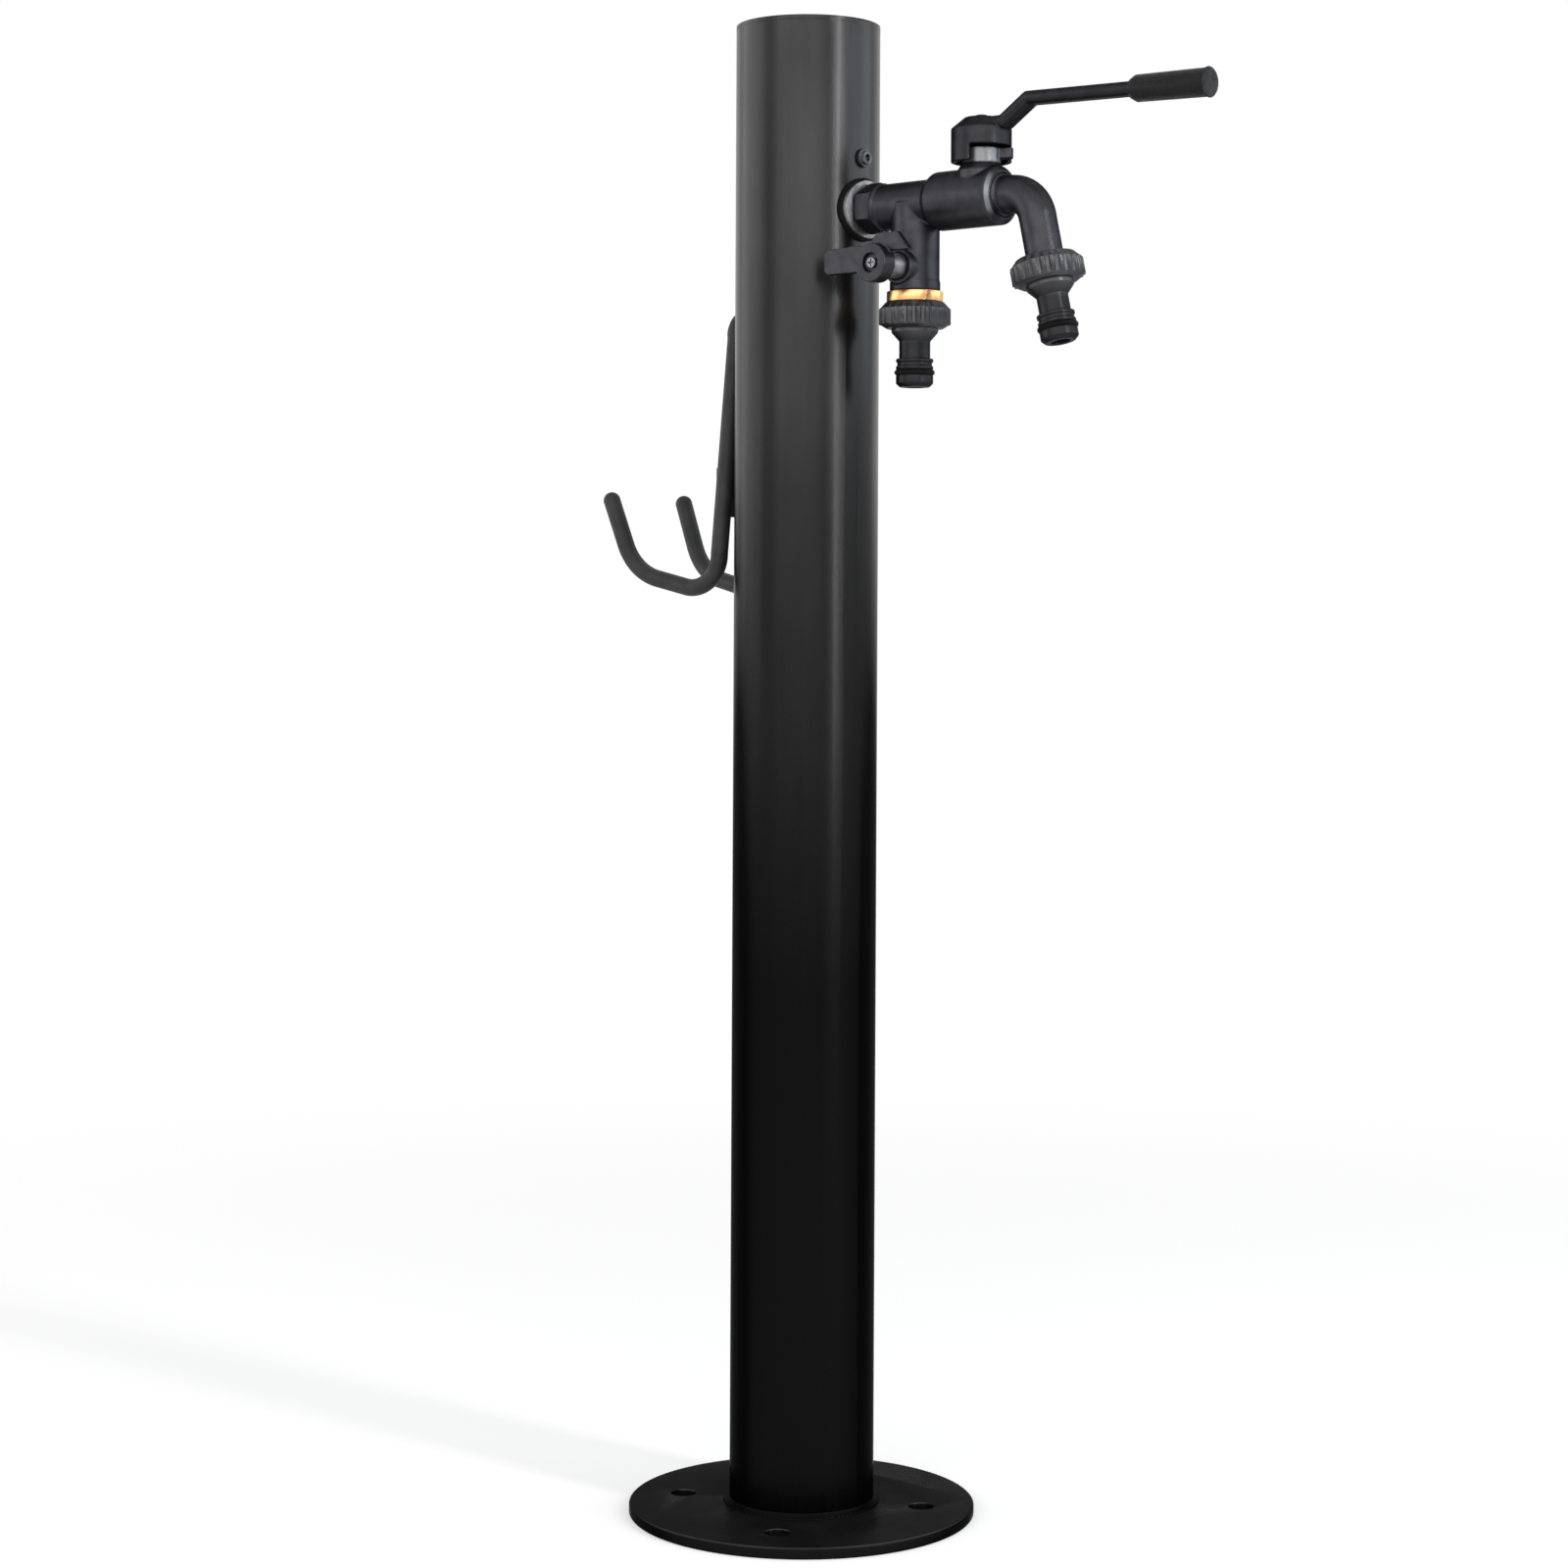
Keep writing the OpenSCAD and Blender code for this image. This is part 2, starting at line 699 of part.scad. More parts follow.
module spout_elbow() {
    color(tap_black) difference() {
        union() {
            at_tap() rod_along_x(spout_plug_x, valve_end_x, chamber_r - fit);
            at_tap() rod_along_x(valve_end_x - cut, bend_x, spout_r);
            spout_bend(spout_r);
            at_outlet() translate([0, 0, -cut]) cylinder(h = spout_run + cut, r = spout_r);
            at_outlet() translate([0, 0, -thread_l]) cylinder(h = thread_l, r = thread_r);
        }
        at_tap() rod_along_x(spout_plug_x - cut, bend_x, spout_bore_r);
        spout_bend(spout_bore_r);
        at_outlet() translate([0, 0, -thread_l - cut])
            cylinder(h = spout_run + thread_l + cut, r = spout_bore_r);
    }
}

module upper_gland() {
    color(brass) at_stem() difference() {
        translate([0, 0, gland_z]) cylinder(h = gland_top_z - gland_z, r = gland_r);
        cylinder(h = gland_top_z + cut, r = stem_r + run);
        cylinder(h = gland_z + 4 * oring_t, r = stem_r + run + 2 * oring_t + fit);
    }
}

module upper_stem() {
    color(steel) at_stem() difference() {
        union() {
            translate([-tang_t / 2, -gland_r / 2, stem_collar_z - tang_h])
                cube([tang_t, gland_r, tang_h + fit]);
            translate([0, 0, stem_collar_z]) cylinder(h = gland_z - stem_collar_z - gap, r = stem_collar_r);
            translate([0, 0, stem_collar_z]) cylinder(h = hub_roof_z - stem_collar_z, r = stem_r);
            translate([-stem_square / 2, -stem_square / 2, stem_collar_z])
                cube([stem_square, stem_square, stem_top_z - stem_collar_z]);
        }
        translate([0, 0, stem_top_z - screw_shank_l])
            cylinder(h = screw_shank_l + cut, r = screw_shank_r + fit);
    }
}

module upper_stem_oring() {
    color(rubber_black) at_stem() translate([0, 0, gland_z + 2 * oring_t])
        oring(stem_r + run + oring_t, oring_t);
}

module upper_ball() {
    color(steel) at_stem() difference() {
        sphere(r = ball_r);
        rod_along_x(-ball_d, ball_d, ball_bore_r);
        translate([-tang_t / 2 - fit, -ball_r, stem_collar_z - tang_h - fit])
            cube([tang_t + 2 * fit, ball_d, ball_r]);
    }
}

// A pair of seat rings on the X axis round a ball at the origin
module seat_pair(r_out, r_in, from, to, r_ball) {
    difference() {
        for (side = [0, 180]) rotate([0, 0, side]) difference() {
            rod_along_x(from, to, r_out);
            rod_along_x(from - cut, to + cut, r_in);
        }
        sphere(r = r_ball + gap);
    }
}

module upper_seats() {
    color(seat_white) at_stem()
        seat_pair(chamber_r - fit, ball_bore_r, seat_in, seat_end, ball_r);
}

// Hub of the main lever: crown, and a skirt whose window lets the stop lug pass
module lever_hub() {
    window_from = stop_angle - lever_turn - stop_angle_half;
    window_to = stop_angle + stop_angle_half;
    difference() {
        rotate_extrude() polygon([
            [0, hub_bottom_z], [hub_r, hub_bottom_z], [hub_r, hub_shoulder_z],
            [hub_top_d / 2, hub_top_z], [0, hub_top_z]
        ]);
        cylinder(h = hub_roof_z, r = hub_bore_r);
        linear_extrude(hub_roof_z) sector(hub_r, window_from, window_to);
    }
}

// A bar with round edges in the XZ plane, between two points
module oval_bar(p, q, t, w) {
    hull() for (end = [p, q], side = [-1, 1])
        translate([end[0], side * (w - t) / 2, end[1]]) sphere(r = t / 2, $fn = 32);
}

// Places its children on the grip's axis, at the grip's start
module at_grip() {
    at_stem() translate([arm_bend_x, 0, bend_z]) rotate([0, arm_droop, 0])
        translate([grip_start - arm_bend_x, 0, 0]) children();
}

module lever_handle() {
    droop = tan(arm_droop);
    end_x = grip_start + core_l;
    core_r = grip_d1 * 0.3;
    color(tap_black) {
        at_stem() difference() {
            union() {
                lever_hub();
                oval_bar([arm_start_x, arm_root_z], [arm_root_x, arm_root_z], arm_t, arm_w);
                oval_bar([arm_root_x, arm_root_z], [arm_bend_x, bend_z], arm_t, arm_w);
                oval_bar([arm_bend_x, bend_z],
                    [grip_start, bend_z - droop * (grip_start - arm_bend_x)], arm_t, arm_w);
            }
            cylinder(h = hub_roof_z, r = hub_bore_r);
            translate([-stem_square / 2 - fit, -stem_square / 2 - fit, hub_bottom_z])
                cube([stem_square + 2 * fit, stem_square + 2 * fit, stem_top_z + fit - hub_bottom_z]);
            translate([0, 0, hub_bottom_z]) cylinder(h = hub_top_z, r = screw_shank_r + fit);
        }
        at_grip() rod_along_x(-cut, core_l, core_r);
    }
}

module lever_grip() {
    core_r = grip_d1 * 0.3;
    color(plastic_black) at_grip() rotate([0, 90, 0]) difference() {
        rotate_extrude() polygon([
            [0, fit], [grip_d1 / 2 - grip_neck_l / 2, fit], [grip_d1 / 2, grip_neck_l],
            [grip_d2 / 2 - grip_flare, grip_l - 2 * grip_flare], [grip_d2 / 2, grip_l - grip_flare],
            [grip_d2 / 2 - grip_flare, grip_l], [0, grip_l]
        ]);
        translate([0, 0, -cut]) cylinder(h = core_l + 2 * cut, r = core_r + fit);
        translate([0, -(arm_w - arm_t) / 2, 0]) sphere(r = arm_t / 2 + fit);
        translate([0, (arm_w - arm_t) / 2, 0]) sphere(r = arm_t / 2 + fit);
    }
}

module lever_screw() {
    color(tap_black) at_stem() {
        translate([0, 0, hub_top_z]) rotate_extrude() polygon([
            [0, 0], [screw_head_r, 0], [screw_head_r, screw_head_h * 0.5],
            [screw_head_r * 0.6, screw_head_h], [0, screw_head_h]
        ]);
        translate([0, 0, hub_top_z - screw_shank_l * 0.8])
            cylinder(h = screw_shank_l * 0.8 + fit, r = screw_shank_r);
    }
}

module lower_gland() {
    color(steel) at_wing() difference() {
        rod_to_front(small_gland_y, small_gland_end, small_gland_r);
        rod_to_front(0, small_gland_end + cut, small_stem_r + run);
        rod_to_front(0, small_gland_y + 4 * small_oring_t, small_stem_r + run + 2 * small_oring_t + fit);
    }
}

module lower_stem() {
    color(steel) at_wing() rotate([90, 0, 0]) difference() {
        union() {
            translate([-small_gland_r / 2, -small_tang_t / 2, small_collar_y - small_tang_h])
                cube([small_gland_r, small_tang_t, small_tang_h + fit]);
            translate([0, 0, small_collar_y])
                cylinder(h = small_gland_y - small_collar_y - gap, r = (small_stem_r + small_gland_r) / 2);
            translate([0, 0, small_collar_y]) cylinder(h = wing_hub_y - small_collar_y, r = small_stem_r);
            translate([-small_square / 2, -small_square / 2, small_collar_y])
                cube([small_square, small_square, small_stem_end - small_collar_y]);
        }
        translate([0, 0, small_stem_end - wing_shank_l])
            cylinder(h = wing_shank_l + cut, r = wing_shank_r + fit);
    }
}

module lower_stem_oring() {
    color(rubber_black) at_wing() rotate([90, 0, 0])
        translate([0, 0, small_gland_y + 2 * small_oring_t])
        oring(small_stem_r + run + small_oring_t, small_oring_t);
}

module lower_ball() {
    color(steel) at_wing() difference() {
        sphere(r = small_ball_r);
        rod_along_x(-small_ball_d, small_ball_d, small_bore_r);
        rotate([90, 0, 0])
            translate([-small_ball_r, -small_tang_t / 2 - fit, small_collar_y - small_tang_h - fit])
            cube([small_ball_d, small_tang_t + 2 * fit, small_ball_r]);
    }
}

module lower_seats() {
    color(seat_white) at_wing() rotate([0, 90, 0])
        seat_pair(small_chamber_r - fit, small_bore_r, small_seat_in, small_seat_end, small_ball_r);
}

module wing_lever() {
    foot_y = wing_hub_y + lug_t;
    color(tap_black) at_wing() difference() {
        union() {
            rod_to_front(wing_hub_y, wing_front_y, wing_hub_r);
            translate([0, -wing_front_y + wing_t, 0]) rotate([90, 0, 0]) linear_extrude(wing_t) polygon([
                [0, wing_top], [-wing_hub_r, wing_top + wing_corner / 2], [-wing_l + wing_corner, wing_top],
                [-wing_l, wing_top - wing_corner], [-wing_l, wing_top - wing_h + wing_corner],
                [-wing_l + wing_corner, wing_top - wing_h], [-wing_hub_r * 0.9, wing_top - wing_h],
                [-wing_hub_r * 0.5, -wing_hub_r * 0.8], [0, 0]
            ]);
            translate([0, -foot_y + lug_t, 0]) rotate([90, 0, 0]) linear_extrude(lug_t) polygon([
                [lug_shift - lug_foot / 2, wing_hub_r * 0.6], [lug_shift + lug_foot / 2, wing_hub_r * 0.6],
                [lug_shift + lug_top / 2, lug_r], [lug_shift - lug_top / 2, lug_r]
            ]);
        }
        rod_to_front(wing_front_y - wing_recess_h, wing_front_y + cut, wing_recess_r);
        rod_to_front(0, wing_front_y, wing_shank_r + fit);
        rotate([90, 0, 0]) translate([-small_square / 2 - fit, -small_square / 2 - fit, 0])
            cube([small_square + 2 * fit, small_square + 2 * fit, small_stem_end + fit]);
    }
}

module wing_screw() {
    seat_y = wing_front_y - wing_recess_h;
    color(steel) at_wing() difference() {
        union() {
            rod_to_front(seat_y, seat_y + wing_screw_h, wing_screw_r);
            rod_to_front(seat_y - wing_shank_l * 0.8, seat_y + fit, wing_shank_r);
        }
        rotate([90, 0, 0]) translate([-wing_screw_r * 0.7, -wing_screw_r * 0.12, seat_y + wing_screw_h * 0.5])
            cube([wing_screw_r * 1.4, wing_screw_r * 0.24, wing_screw_h]);
        rotate([90, 0, 0]) translate([-wing_screw_r * 0.12, -wing_screw_r * 0.7, seat_y + wing_screw_h * 0.5])
            cube([wing_screw_r * 0.24, wing_screw_r * 1.4, wing_screw_h]);
    }
}

module outlet_nipple() {
    plug_top = tap_z + wing_z - small_seat_end;
    branch_end = tap_z - branch_l;
    color(brass) translate([branch_x, 0, 0]) difference() {
        union() {
            translate([0, 0, lower_thread_z - thread_l])
                cylinder(h = branch_end - lower_thread_z + thread_l, r = thread_r);
            translate([0, 0, lower_thread_z + fit])
                cylinder(h = branch_end - lower_thread_z - fit, r = nipple_collar_r);
            translate([0, 0, branch_end - cut])
                cylinder(h = plug_top - branch_end + cut, r = small_chamber_r - fit);
        }
        translate([0, 0, lower_thread_z - thread_l - cut])
            cylinder(h = plug_top - lower_thread_z + thread_l + 2 * cut, r = small_bore_r);
    }
}

// One hose connector, hanging from the top of its thread at the origin
module hose_connector() {
    difference() {
        union() {
            rotate_extrude() polygon([
                [0, 0], [nut_r - nut_bevel * 0.6, 0], [nut_r, -nut_bevel],
                [nut_r, -nut_h + nut_bevel * 0.5], [nut_r - nut_bevel * 0.8, -nut_h],
                [collar_r, -nut_h], [collar_r, -nut_h - collar_h + 2 * collar_cone],
                [neck_r, -nut_h - collar_h], [neck_r, -nose_z], [nose_r, -nose_z],
                [nose_r, -nose_z - nose_ring_h], [nose_waist, -nose_z - nose_ring_h],
                [nose_waist, -groove_z + nose_ring_h], [nose_r, -groove_z + nose_ring_h],
                [nose_r, -groove_z], [nose_r - groove_depth, -groove_z],
                [nose_r - groove_depth, -groove_z - groove_h], [nose_r, -groove_z - groove_h],
                [nose_r, -nose_end + nose_chamfer], [nose_r - nose_chamfer, -nose_end], [0, -nose_end]
            ]);
            for (i = [0 : nut_ribs - 1]) rotate([0, 0, 360 * i / nut_ribs])
                translate([nut_r - nut_rib_out, -rib_w / 2, -nut_h + nut_bevel * 0.7])
                cube([2 * nut_rib_out, rib_w, nut_h - nut_bevel * 1.8]);
        }
        translate([0, 0, -nut_roof]) cylinder(h = nut_roof + cut, r = thread_r + fit);
        translate([0, 0, -nose_end - cut]) cylinder(h = nose_end + cut, r = nose_bore_r);
    }
}

module connector_washer() {
    translate([0, 0, -nut_roof]) ring(nut_roof - thread_l, thread_r, nose_bore_r);
}

module nose_oring() {
    mean_r = nose_r - groove_depth + groove_h / 2;
    translate([0, 0, -groove_z - groove_h / 2]) oring(mean_r, groove_h / 2 - fit / 2);
}

module at_lower_thread() {
    translate([branch_x, 0, lower_thread_z]) children();
}

module lower_hose_connector() {
    color(plastic_black) at_lower_thread() hose_connector();
}

module lower_connector_washer() {
    color(rubber_black) at_lower_thread() connector_washer();
}

module lower_nose_oring() {
    color(rubber_black) at_lower_thread() nose_oring();
}

module upper_hose_connector() {
    color(plastic_black) at_outlet() hose_connector();
}

module upper_connector_washer() {
    color(rubber_black) at_outlet() connector_washer();
}

module upper_nose_oring() {
    color(rubber_black) at_outlet() nose_oring();
}

module wall_elbow() {
    color(brass) difference() {
        union() {
            intersection() {
                translate([backplate_x, -backplate_w / 2, tap_z - backplate_h / 2])
                    cube([post_d, backplate_w, backplate_h]);
                translate([0, 0, tap_z - backplate_h]) cylinder(h = 2 * backplate_h, r = post_ri - fit);
            }
            at_tap() rod_along_x(0, backplate_x + fit, elbow_r);
            at_tap() sphere(r = elbow_r);
            translate([0, 0, leg_end_z]) cylinder(h = elbow_leg, r = elbow_r - riser_wall);
        }
        at_tap() rod_along_x(socket_end_x, post_d, tail_r + fit);
        at_tap() rod_along_x(0, post_d, waterway_r);
        at_tap() sphere(r = waterway_r);
        translate([0, 0, leg_end_z - cut]) cylinder(h = elbow_leg + cut, r = riser_ri);
        translate([0, 0, leg_end_z - cut]) cylinder(h = leg_bore_l + cut, r = riser_r + fit);
        for (side = [-1, 1]) translate([0, 0, tap_z + side * fixing_up])
            rod_along_x(backplate_x - cut, post_d, fixing_r + fit);
    }
}

module elbow_fixing_screws() {
    color(tap_black) for (side = [-1, 1]) translate([0, 0, tap_z + side * fixing_up]) difference() {
        union() {
            rod_along_x(post_r - fixing_l, post_r + fit, fixing_r);
            rod_along_x(post_r, post_r + fixing_head_h * 0.6, fixing_head_r);
            rod_along_x(post_r, post_r + fixing_head_h, fixing_head_r * 0.75);
        }
        translate([post_r + fixing_head_h - socket_hex_h, 0, 0]) rotate([0, 90, 0])
            cylinder(h = fixing_head_h, r = socket_hex_r, $fn = 6);
    }
}

module elbow_seal() {
    color(rubber_black) at_tap() translate([socket_end_x, 0, 0]) rotate([0, 90, 0])
        ring(elbow_seal_t, tail_r - fit, waterway_r);
}

module riser_top_nut() {
    color(brass) translate([0, 0, leg_end_z - riser_nut_h]) difference() {
        hex_blank(riser_nut_h, riser_nut_af, riser_wall / 2);
        translate([0, 0, -cut]) cylinder(h = riser_nut_h + 2 * cut, r = riser_r + fit);
    }
}

module riser_pipe() {
    color(pipe_white) translate([0, 0, riser_foot_z]) ring(riser_top_z - riser_foot_z, riser_r, riser_ri);
}

module riser_bottom_connector() {
    color(brass) difference() {
        union() {
            translate([0, 0, inlet_up]) cylinder(h = inlet_l + cut, r = tail_r);
            translate([0, 0, inlet_top_z]) hex_blank(2 * riser_nut_h, riser_nut_af, riser_wall / 2);
        }
        translate([0, 0, inlet_up - cut]) cylinder(h = inlet_l + 4 * riser_nut_h, r = riser_ri);
        translate([0, 0, riser_foot_z]) cylinder(h = 3 * riser_nut_h, r = riser_r + fit);
    }
}

// One half of the hanger's rod, on the side of +Y
module hanger_side() {
    foot = [rod_x, leg_spread, leg_foot_z];
    translate([rod_x, arch_r, arch_z]) {
        rotate([180 + leg_lean, 0, 0]) cylinder(h = leg_l, r = rod_r);
        knuckle(rod_r);
    }
    translate(foot) knuckle(rod_r);
    translate(foot) rotate([0, 0, -hook_turn]) hook();
}

// A hook in the XZ plane that starts downwards at the origin and opens to -X
module hook() {
    run_angle = 90 + hook_rise;
    translate([-hook_bend_r, 0, 0]) rotate([90, 0, 0]) rotate([0, 0, -run_angle])
        rotate_extrude(angle = run_angle) translate([hook_bend_r, 0]) circle(r = rod_r);
    translate([-hook_bend_r, 0, 0]) rotate([0, run_angle, 0]) translate([hook_bend_r, 0, 0]) {
        knuckle(rod_r);
        hook_outer();
    }
}

// The hook's straight run, its outer bend and its round tip, along -Z
module hook_outer() {
    tip_angle = 90 - hook_rise - hook_lean;
    translate([0, 0, -hook_run]) {
        cylinder(h = hook_run, r = rod_r);
        knuckle(rod_r);
    }
    translate([-hook_tip_r, 0, -hook_run]) rotate([90, 0, 0]) rotate([0, 0, -tip_angle])
        rotate_extrude(angle = tip_angle) translate([hook_tip_r, 0]) circle(r = rod_r);
    translate([-hook_tip_r, 0, -hook_run]) rotate([0, tip_angle, 0]) translate([hook_tip_r, 0, -hook_tip_l]) {
        cylinder(h = hook_tip_l, r = rod_r);
        translate([0, 0, hook_tip_l]) knuckle(rod_r);
        knuckle(rod_r);
    }
}

module hanger_rod() {
    color(hanger_grey) {
        translate([rod_x, 0, arch_z]) rotate([0, 90, 0]) rotate([0, 0, 90])
            rotate_extrude(angle = 180) translate([arch_r, 0]) circle(r = rod_r);
        hanger_side();
        mirror([0, 1, 0]) hanger_side();
    }
}

module hanger_plate() {
    color(hanger_grey) difference() {
        translate([clamp_x - clamp_t, -clamp_w / 2, clamp_z - clamp_h / 2]) cube([clamp_t, clamp_w, clamp_h]);
        translate([0, 0, clamp_z]) rod_along_x(-post_d, 0, hanger_screw_r + fit);
    }
}

module hanger_washer() {
    color(hanger_grey) translate([washer_plate_x - hanger_washer_t, 0, arch_z]) rotate([0, 90, 0])
        ring(hanger_washer_t, hanger_washer_d / 2, hanger_screw_r + fit);
}

module hanger_screw(seat_x) {
    difference() {
        union() {
            rod_along_x(seat_x - fit, -post_r + rivet_l * 0.8, hanger_screw_r);
            rod_along_x(seat_x - fixing_head_h * 0.6, seat_x, fixing_head_r);
            rod_along_x(seat_x - fixing_head_h, seat_x, fixing_head_r * 0.75);
        }
        translate([seat_x - 2 * fixing_head_h + socket_hex_h, 0, 0]) rotate([0, 90, 0])
            cylinder(h = fixing_head_h, r = socket_hex_r, $fn = 6);
    }
}

module hanger_screws() {
    color(tap_black) {
        translate([0, 0, arch_z]) hanger_screw(washer_plate_x - hanger_washer_t);
        translate([0, 0, clamp_z]) hanger_screw(clamp_x - clamp_t);
    }
}

module hanger_rivet_nuts() {
    color(steel) for (z = [arch_z, clamp_z]) translate([0, 0, z]) difference() {
        union() {
            rod_along_x(-post_r, -post_r + rivet_l, rivet_r);
            rod_along_x(-rivet_flange_x, rivet_flange_t - rivet_flange_x, rivet_flange_r);
        }
        rod_along_x(-post_d, 0, hanger_screw_r + fit);
    }
}

base_plate();
post_tube();
foot_weld();
top_cap();
tap_grommet();
tap_washer();
inlet_lock_nut();
tee_body();
valve_body();
spout_elbow();
upper_gland();
upper_stem();
upper_stem_oring();
upper_ball();
upper_seats();
lever_handle();
lever_grip();
lever_screw();
lower_gland();
lower_stem();
lower_stem_oring();
lower_ball();
lower_seats();
wing_lever();
wing_screw();
outlet_nipple();
lower_hose_connector();
lower_connector_washer();
lower_nose_oring();
upper_hose_connector();
upper_connector_washer();
upper_nose_oring();
wall_elbow();
elbow_fixing_screws();
elbow_seal();
riser_top_nut();
riser_pipe();
riser_bottom_connector();
hanger_rod();
hanger_plate();
hanger_washer();
hanger_screws();
hanger_rivet_nuts();
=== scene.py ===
"""Looks of the garden standpipe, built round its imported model.

Lengths are in metres and +Z is up. The tap leans out along +X, the hose hanger
is on -X, and the post stands on the Z axis.
"""

import json
import math

import bmesh
import bpy
from mathutils import Matrix, Vector

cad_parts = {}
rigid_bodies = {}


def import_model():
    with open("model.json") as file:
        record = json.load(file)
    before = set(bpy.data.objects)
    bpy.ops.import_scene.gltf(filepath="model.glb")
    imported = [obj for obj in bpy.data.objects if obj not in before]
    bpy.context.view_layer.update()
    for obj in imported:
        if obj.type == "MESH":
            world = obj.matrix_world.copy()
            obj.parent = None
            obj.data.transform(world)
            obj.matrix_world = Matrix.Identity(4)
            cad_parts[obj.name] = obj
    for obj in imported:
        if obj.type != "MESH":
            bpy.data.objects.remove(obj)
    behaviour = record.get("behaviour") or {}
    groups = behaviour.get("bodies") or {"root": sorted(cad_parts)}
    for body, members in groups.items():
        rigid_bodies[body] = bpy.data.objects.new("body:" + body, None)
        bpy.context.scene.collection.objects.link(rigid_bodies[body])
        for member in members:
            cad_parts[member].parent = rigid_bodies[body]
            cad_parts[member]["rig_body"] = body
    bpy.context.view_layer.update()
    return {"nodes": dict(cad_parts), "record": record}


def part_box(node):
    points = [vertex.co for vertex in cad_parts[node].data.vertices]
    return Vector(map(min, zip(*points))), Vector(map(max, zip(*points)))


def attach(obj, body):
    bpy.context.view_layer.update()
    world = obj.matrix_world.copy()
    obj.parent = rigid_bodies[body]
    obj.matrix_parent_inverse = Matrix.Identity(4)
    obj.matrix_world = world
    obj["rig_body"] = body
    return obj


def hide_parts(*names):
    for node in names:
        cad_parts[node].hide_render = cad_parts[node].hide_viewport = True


MM = 0.001

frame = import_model()
nodes = frame["nodes"]
slot_of = {entry["node"]: entry["material_slot"] for entry in frame["record"]["subparts"]}
mount_of = {mount["name"]: mount for mount in frame["record"]["mounts"]}


# Camera: the photograph's own view, measured in its 1600 pixel frame

IMAGE_PX = 1600
FOCAL_PX = 3281
AXIS_PX = 822
HORIZON_PX = 644
SENSOR_MM = 36
CAMERA_DISTANCE = 1.700
CAMERA_HEIGHT = 0.465
CAMERA_AZIMUTH = math.radians(41)
CAMERA_ROLL = math.radians(0.28)


def toward(azimuth):
    """The level direction from the post to a viewer at that azimuth."""
    return Vector((math.sin(azimuth), -math.cos(azimuth), 0))


def make_camera():
    data = bpy.data.cameras.new("camera")
    data.sensor_width = SENSOR_MM
    data.lens = SENSOR_MM * FOCAL_PX / IMAGE_PX
    data.shift_x = (IMAGE_PX / 2 - AXIS_PX) / IMAGE_PX
    data.shift_y = (HORIZON_PX - IMAGE_PX / 2) / IMAGE_PX
    camera = bpy.data.objects.new("camera", data)
    bpy.context.scene.collection.objects.link(camera)
    place = toward(CAMERA_AZIMUTH) * CAMERA_DISTANCE + Vector((0, 0, CAMERA_HEIGHT))
    camera.matrix_world = (
        Matrix.Translation(place)
        @ Matrix.Rotation(CAMERA_AZIMUTH, 4, "Z")
        @ Matrix.Rotation(math.pi / 2, 4, "X")
        @ Matrix.Rotation(CAMERA_ROLL, 4, "Z")
    )
    bpy.context.scene.camera = camera


# Studio: softboxes, a white surround, and a pale floor

POST_AIM = 0.5
TAP_AIM = 0.69
PLAIN_TINT = (1, 1, 1)
COOL_TINT = (0.82, 0.91, 1.0)


def lamp(name, side, height, distance, width, tall, radiance, tint=PLAIN_TINT, aim_height=POST_AIM):
    """A softbox: side is its angle in degrees to the right of the camera, seen from the post."""
    data = bpy.data.lights.new(name, "AREA")
    data.shape = "RECTANGLE"
    data.size = width
    data.size_y = tall
    data.energy = radiance * math.pi * width * tall
    data.color = tint
    light = bpy.data.objects.new(name, data)
    bpy.context.scene.collection.objects.link(light)
    place = toward(CAMERA_AZIMUTH + math.radians(side)) * distance + Vector((0, 0, height))
    aim = Vector((0, 0, aim_height)) - place
    light.matrix_world = Matrix.Translation(place) @ aim.to_track_quat("-Z", "Y").to_matrix().to_4x4()


def make_lamps():
    # The main light, broad and a little to the left
    lamp("front_box", side=-14, height=1.45, distance=2.6, width=4.2, tall=1.8, radiance=1.85)
    # Makes the narrow light band down the post
    lamp("streak_box", side=49, height=1.25, distance=2.6, width=0.3, tall=2.0, radiance=18.0)
    # Lightens the post's left edge and the hanger
    lamp("left_box", side=-101, height=1.0, distance=2.4, width=2.3, tall=1.2, radiance=1.9)
    # Parts the upper edges from the surround
    lamp("top_box", side=150, height=2.4, distance=1.0, width=1.4, tall=1.2, radiance=0.6)
    # The cool light on the right of the tap
    lamp("right_box", side=88, height=0.94, distance=1.5, width=1.6, tall=0.42, radiance=2.5,
         tint=COOL_TINT, aim_height=TAP_AIM)


WHITE = 1.0
WORLD_FILL = 0.35
FLOOR_SIZE = 60.0
FLOOR_COLOUR = (0.86, 0.86, 0.86, 1)
FLOOR_LIFT = 0.34
FLOOR_FADE_FROM = 0.35
FLOOR_FADE_TO = 1.6


def seen_by_eye_and_gloss(tree):
    """1 for camera, glossy and transmission rays, 0 for the rays that light the object."""
    path = tree.nodes.new("ShaderNodeLightPath")
    total = path.outputs["Is Camera Ray"]
    for name in ("Is Glossy Ray", "Is Transmission Ray"):
        either = tree.nodes.new("ShaderNodeMath")
        either.operation = "MAXIMUM"
        tree.links.new(total, either.inputs[0])
        tree.links.new(path.outputs[name], either.inputs[1])
        total = either.outputs[0]
    return total


def glow(tree, kind, strength):
    """A background or emission shader, white at that strength."""
    node = tree.nodes.new(kind)
    node.inputs["Color"].default_value = (1, 1, 1, 1)
    node.inputs["Strength"].default_value = strength
    return node.outputs[0]


def mixed(tree, factor, first, second):
    """A shader that is first where the factor is 0 and second where it is 1."""
    mix = tree.nodes.new("ShaderNodeMixShader")
    for source, socket in zip((factor, first, second), mix.inputs):
        tree.links.new(source, socket)
    return mix.outputs[0]


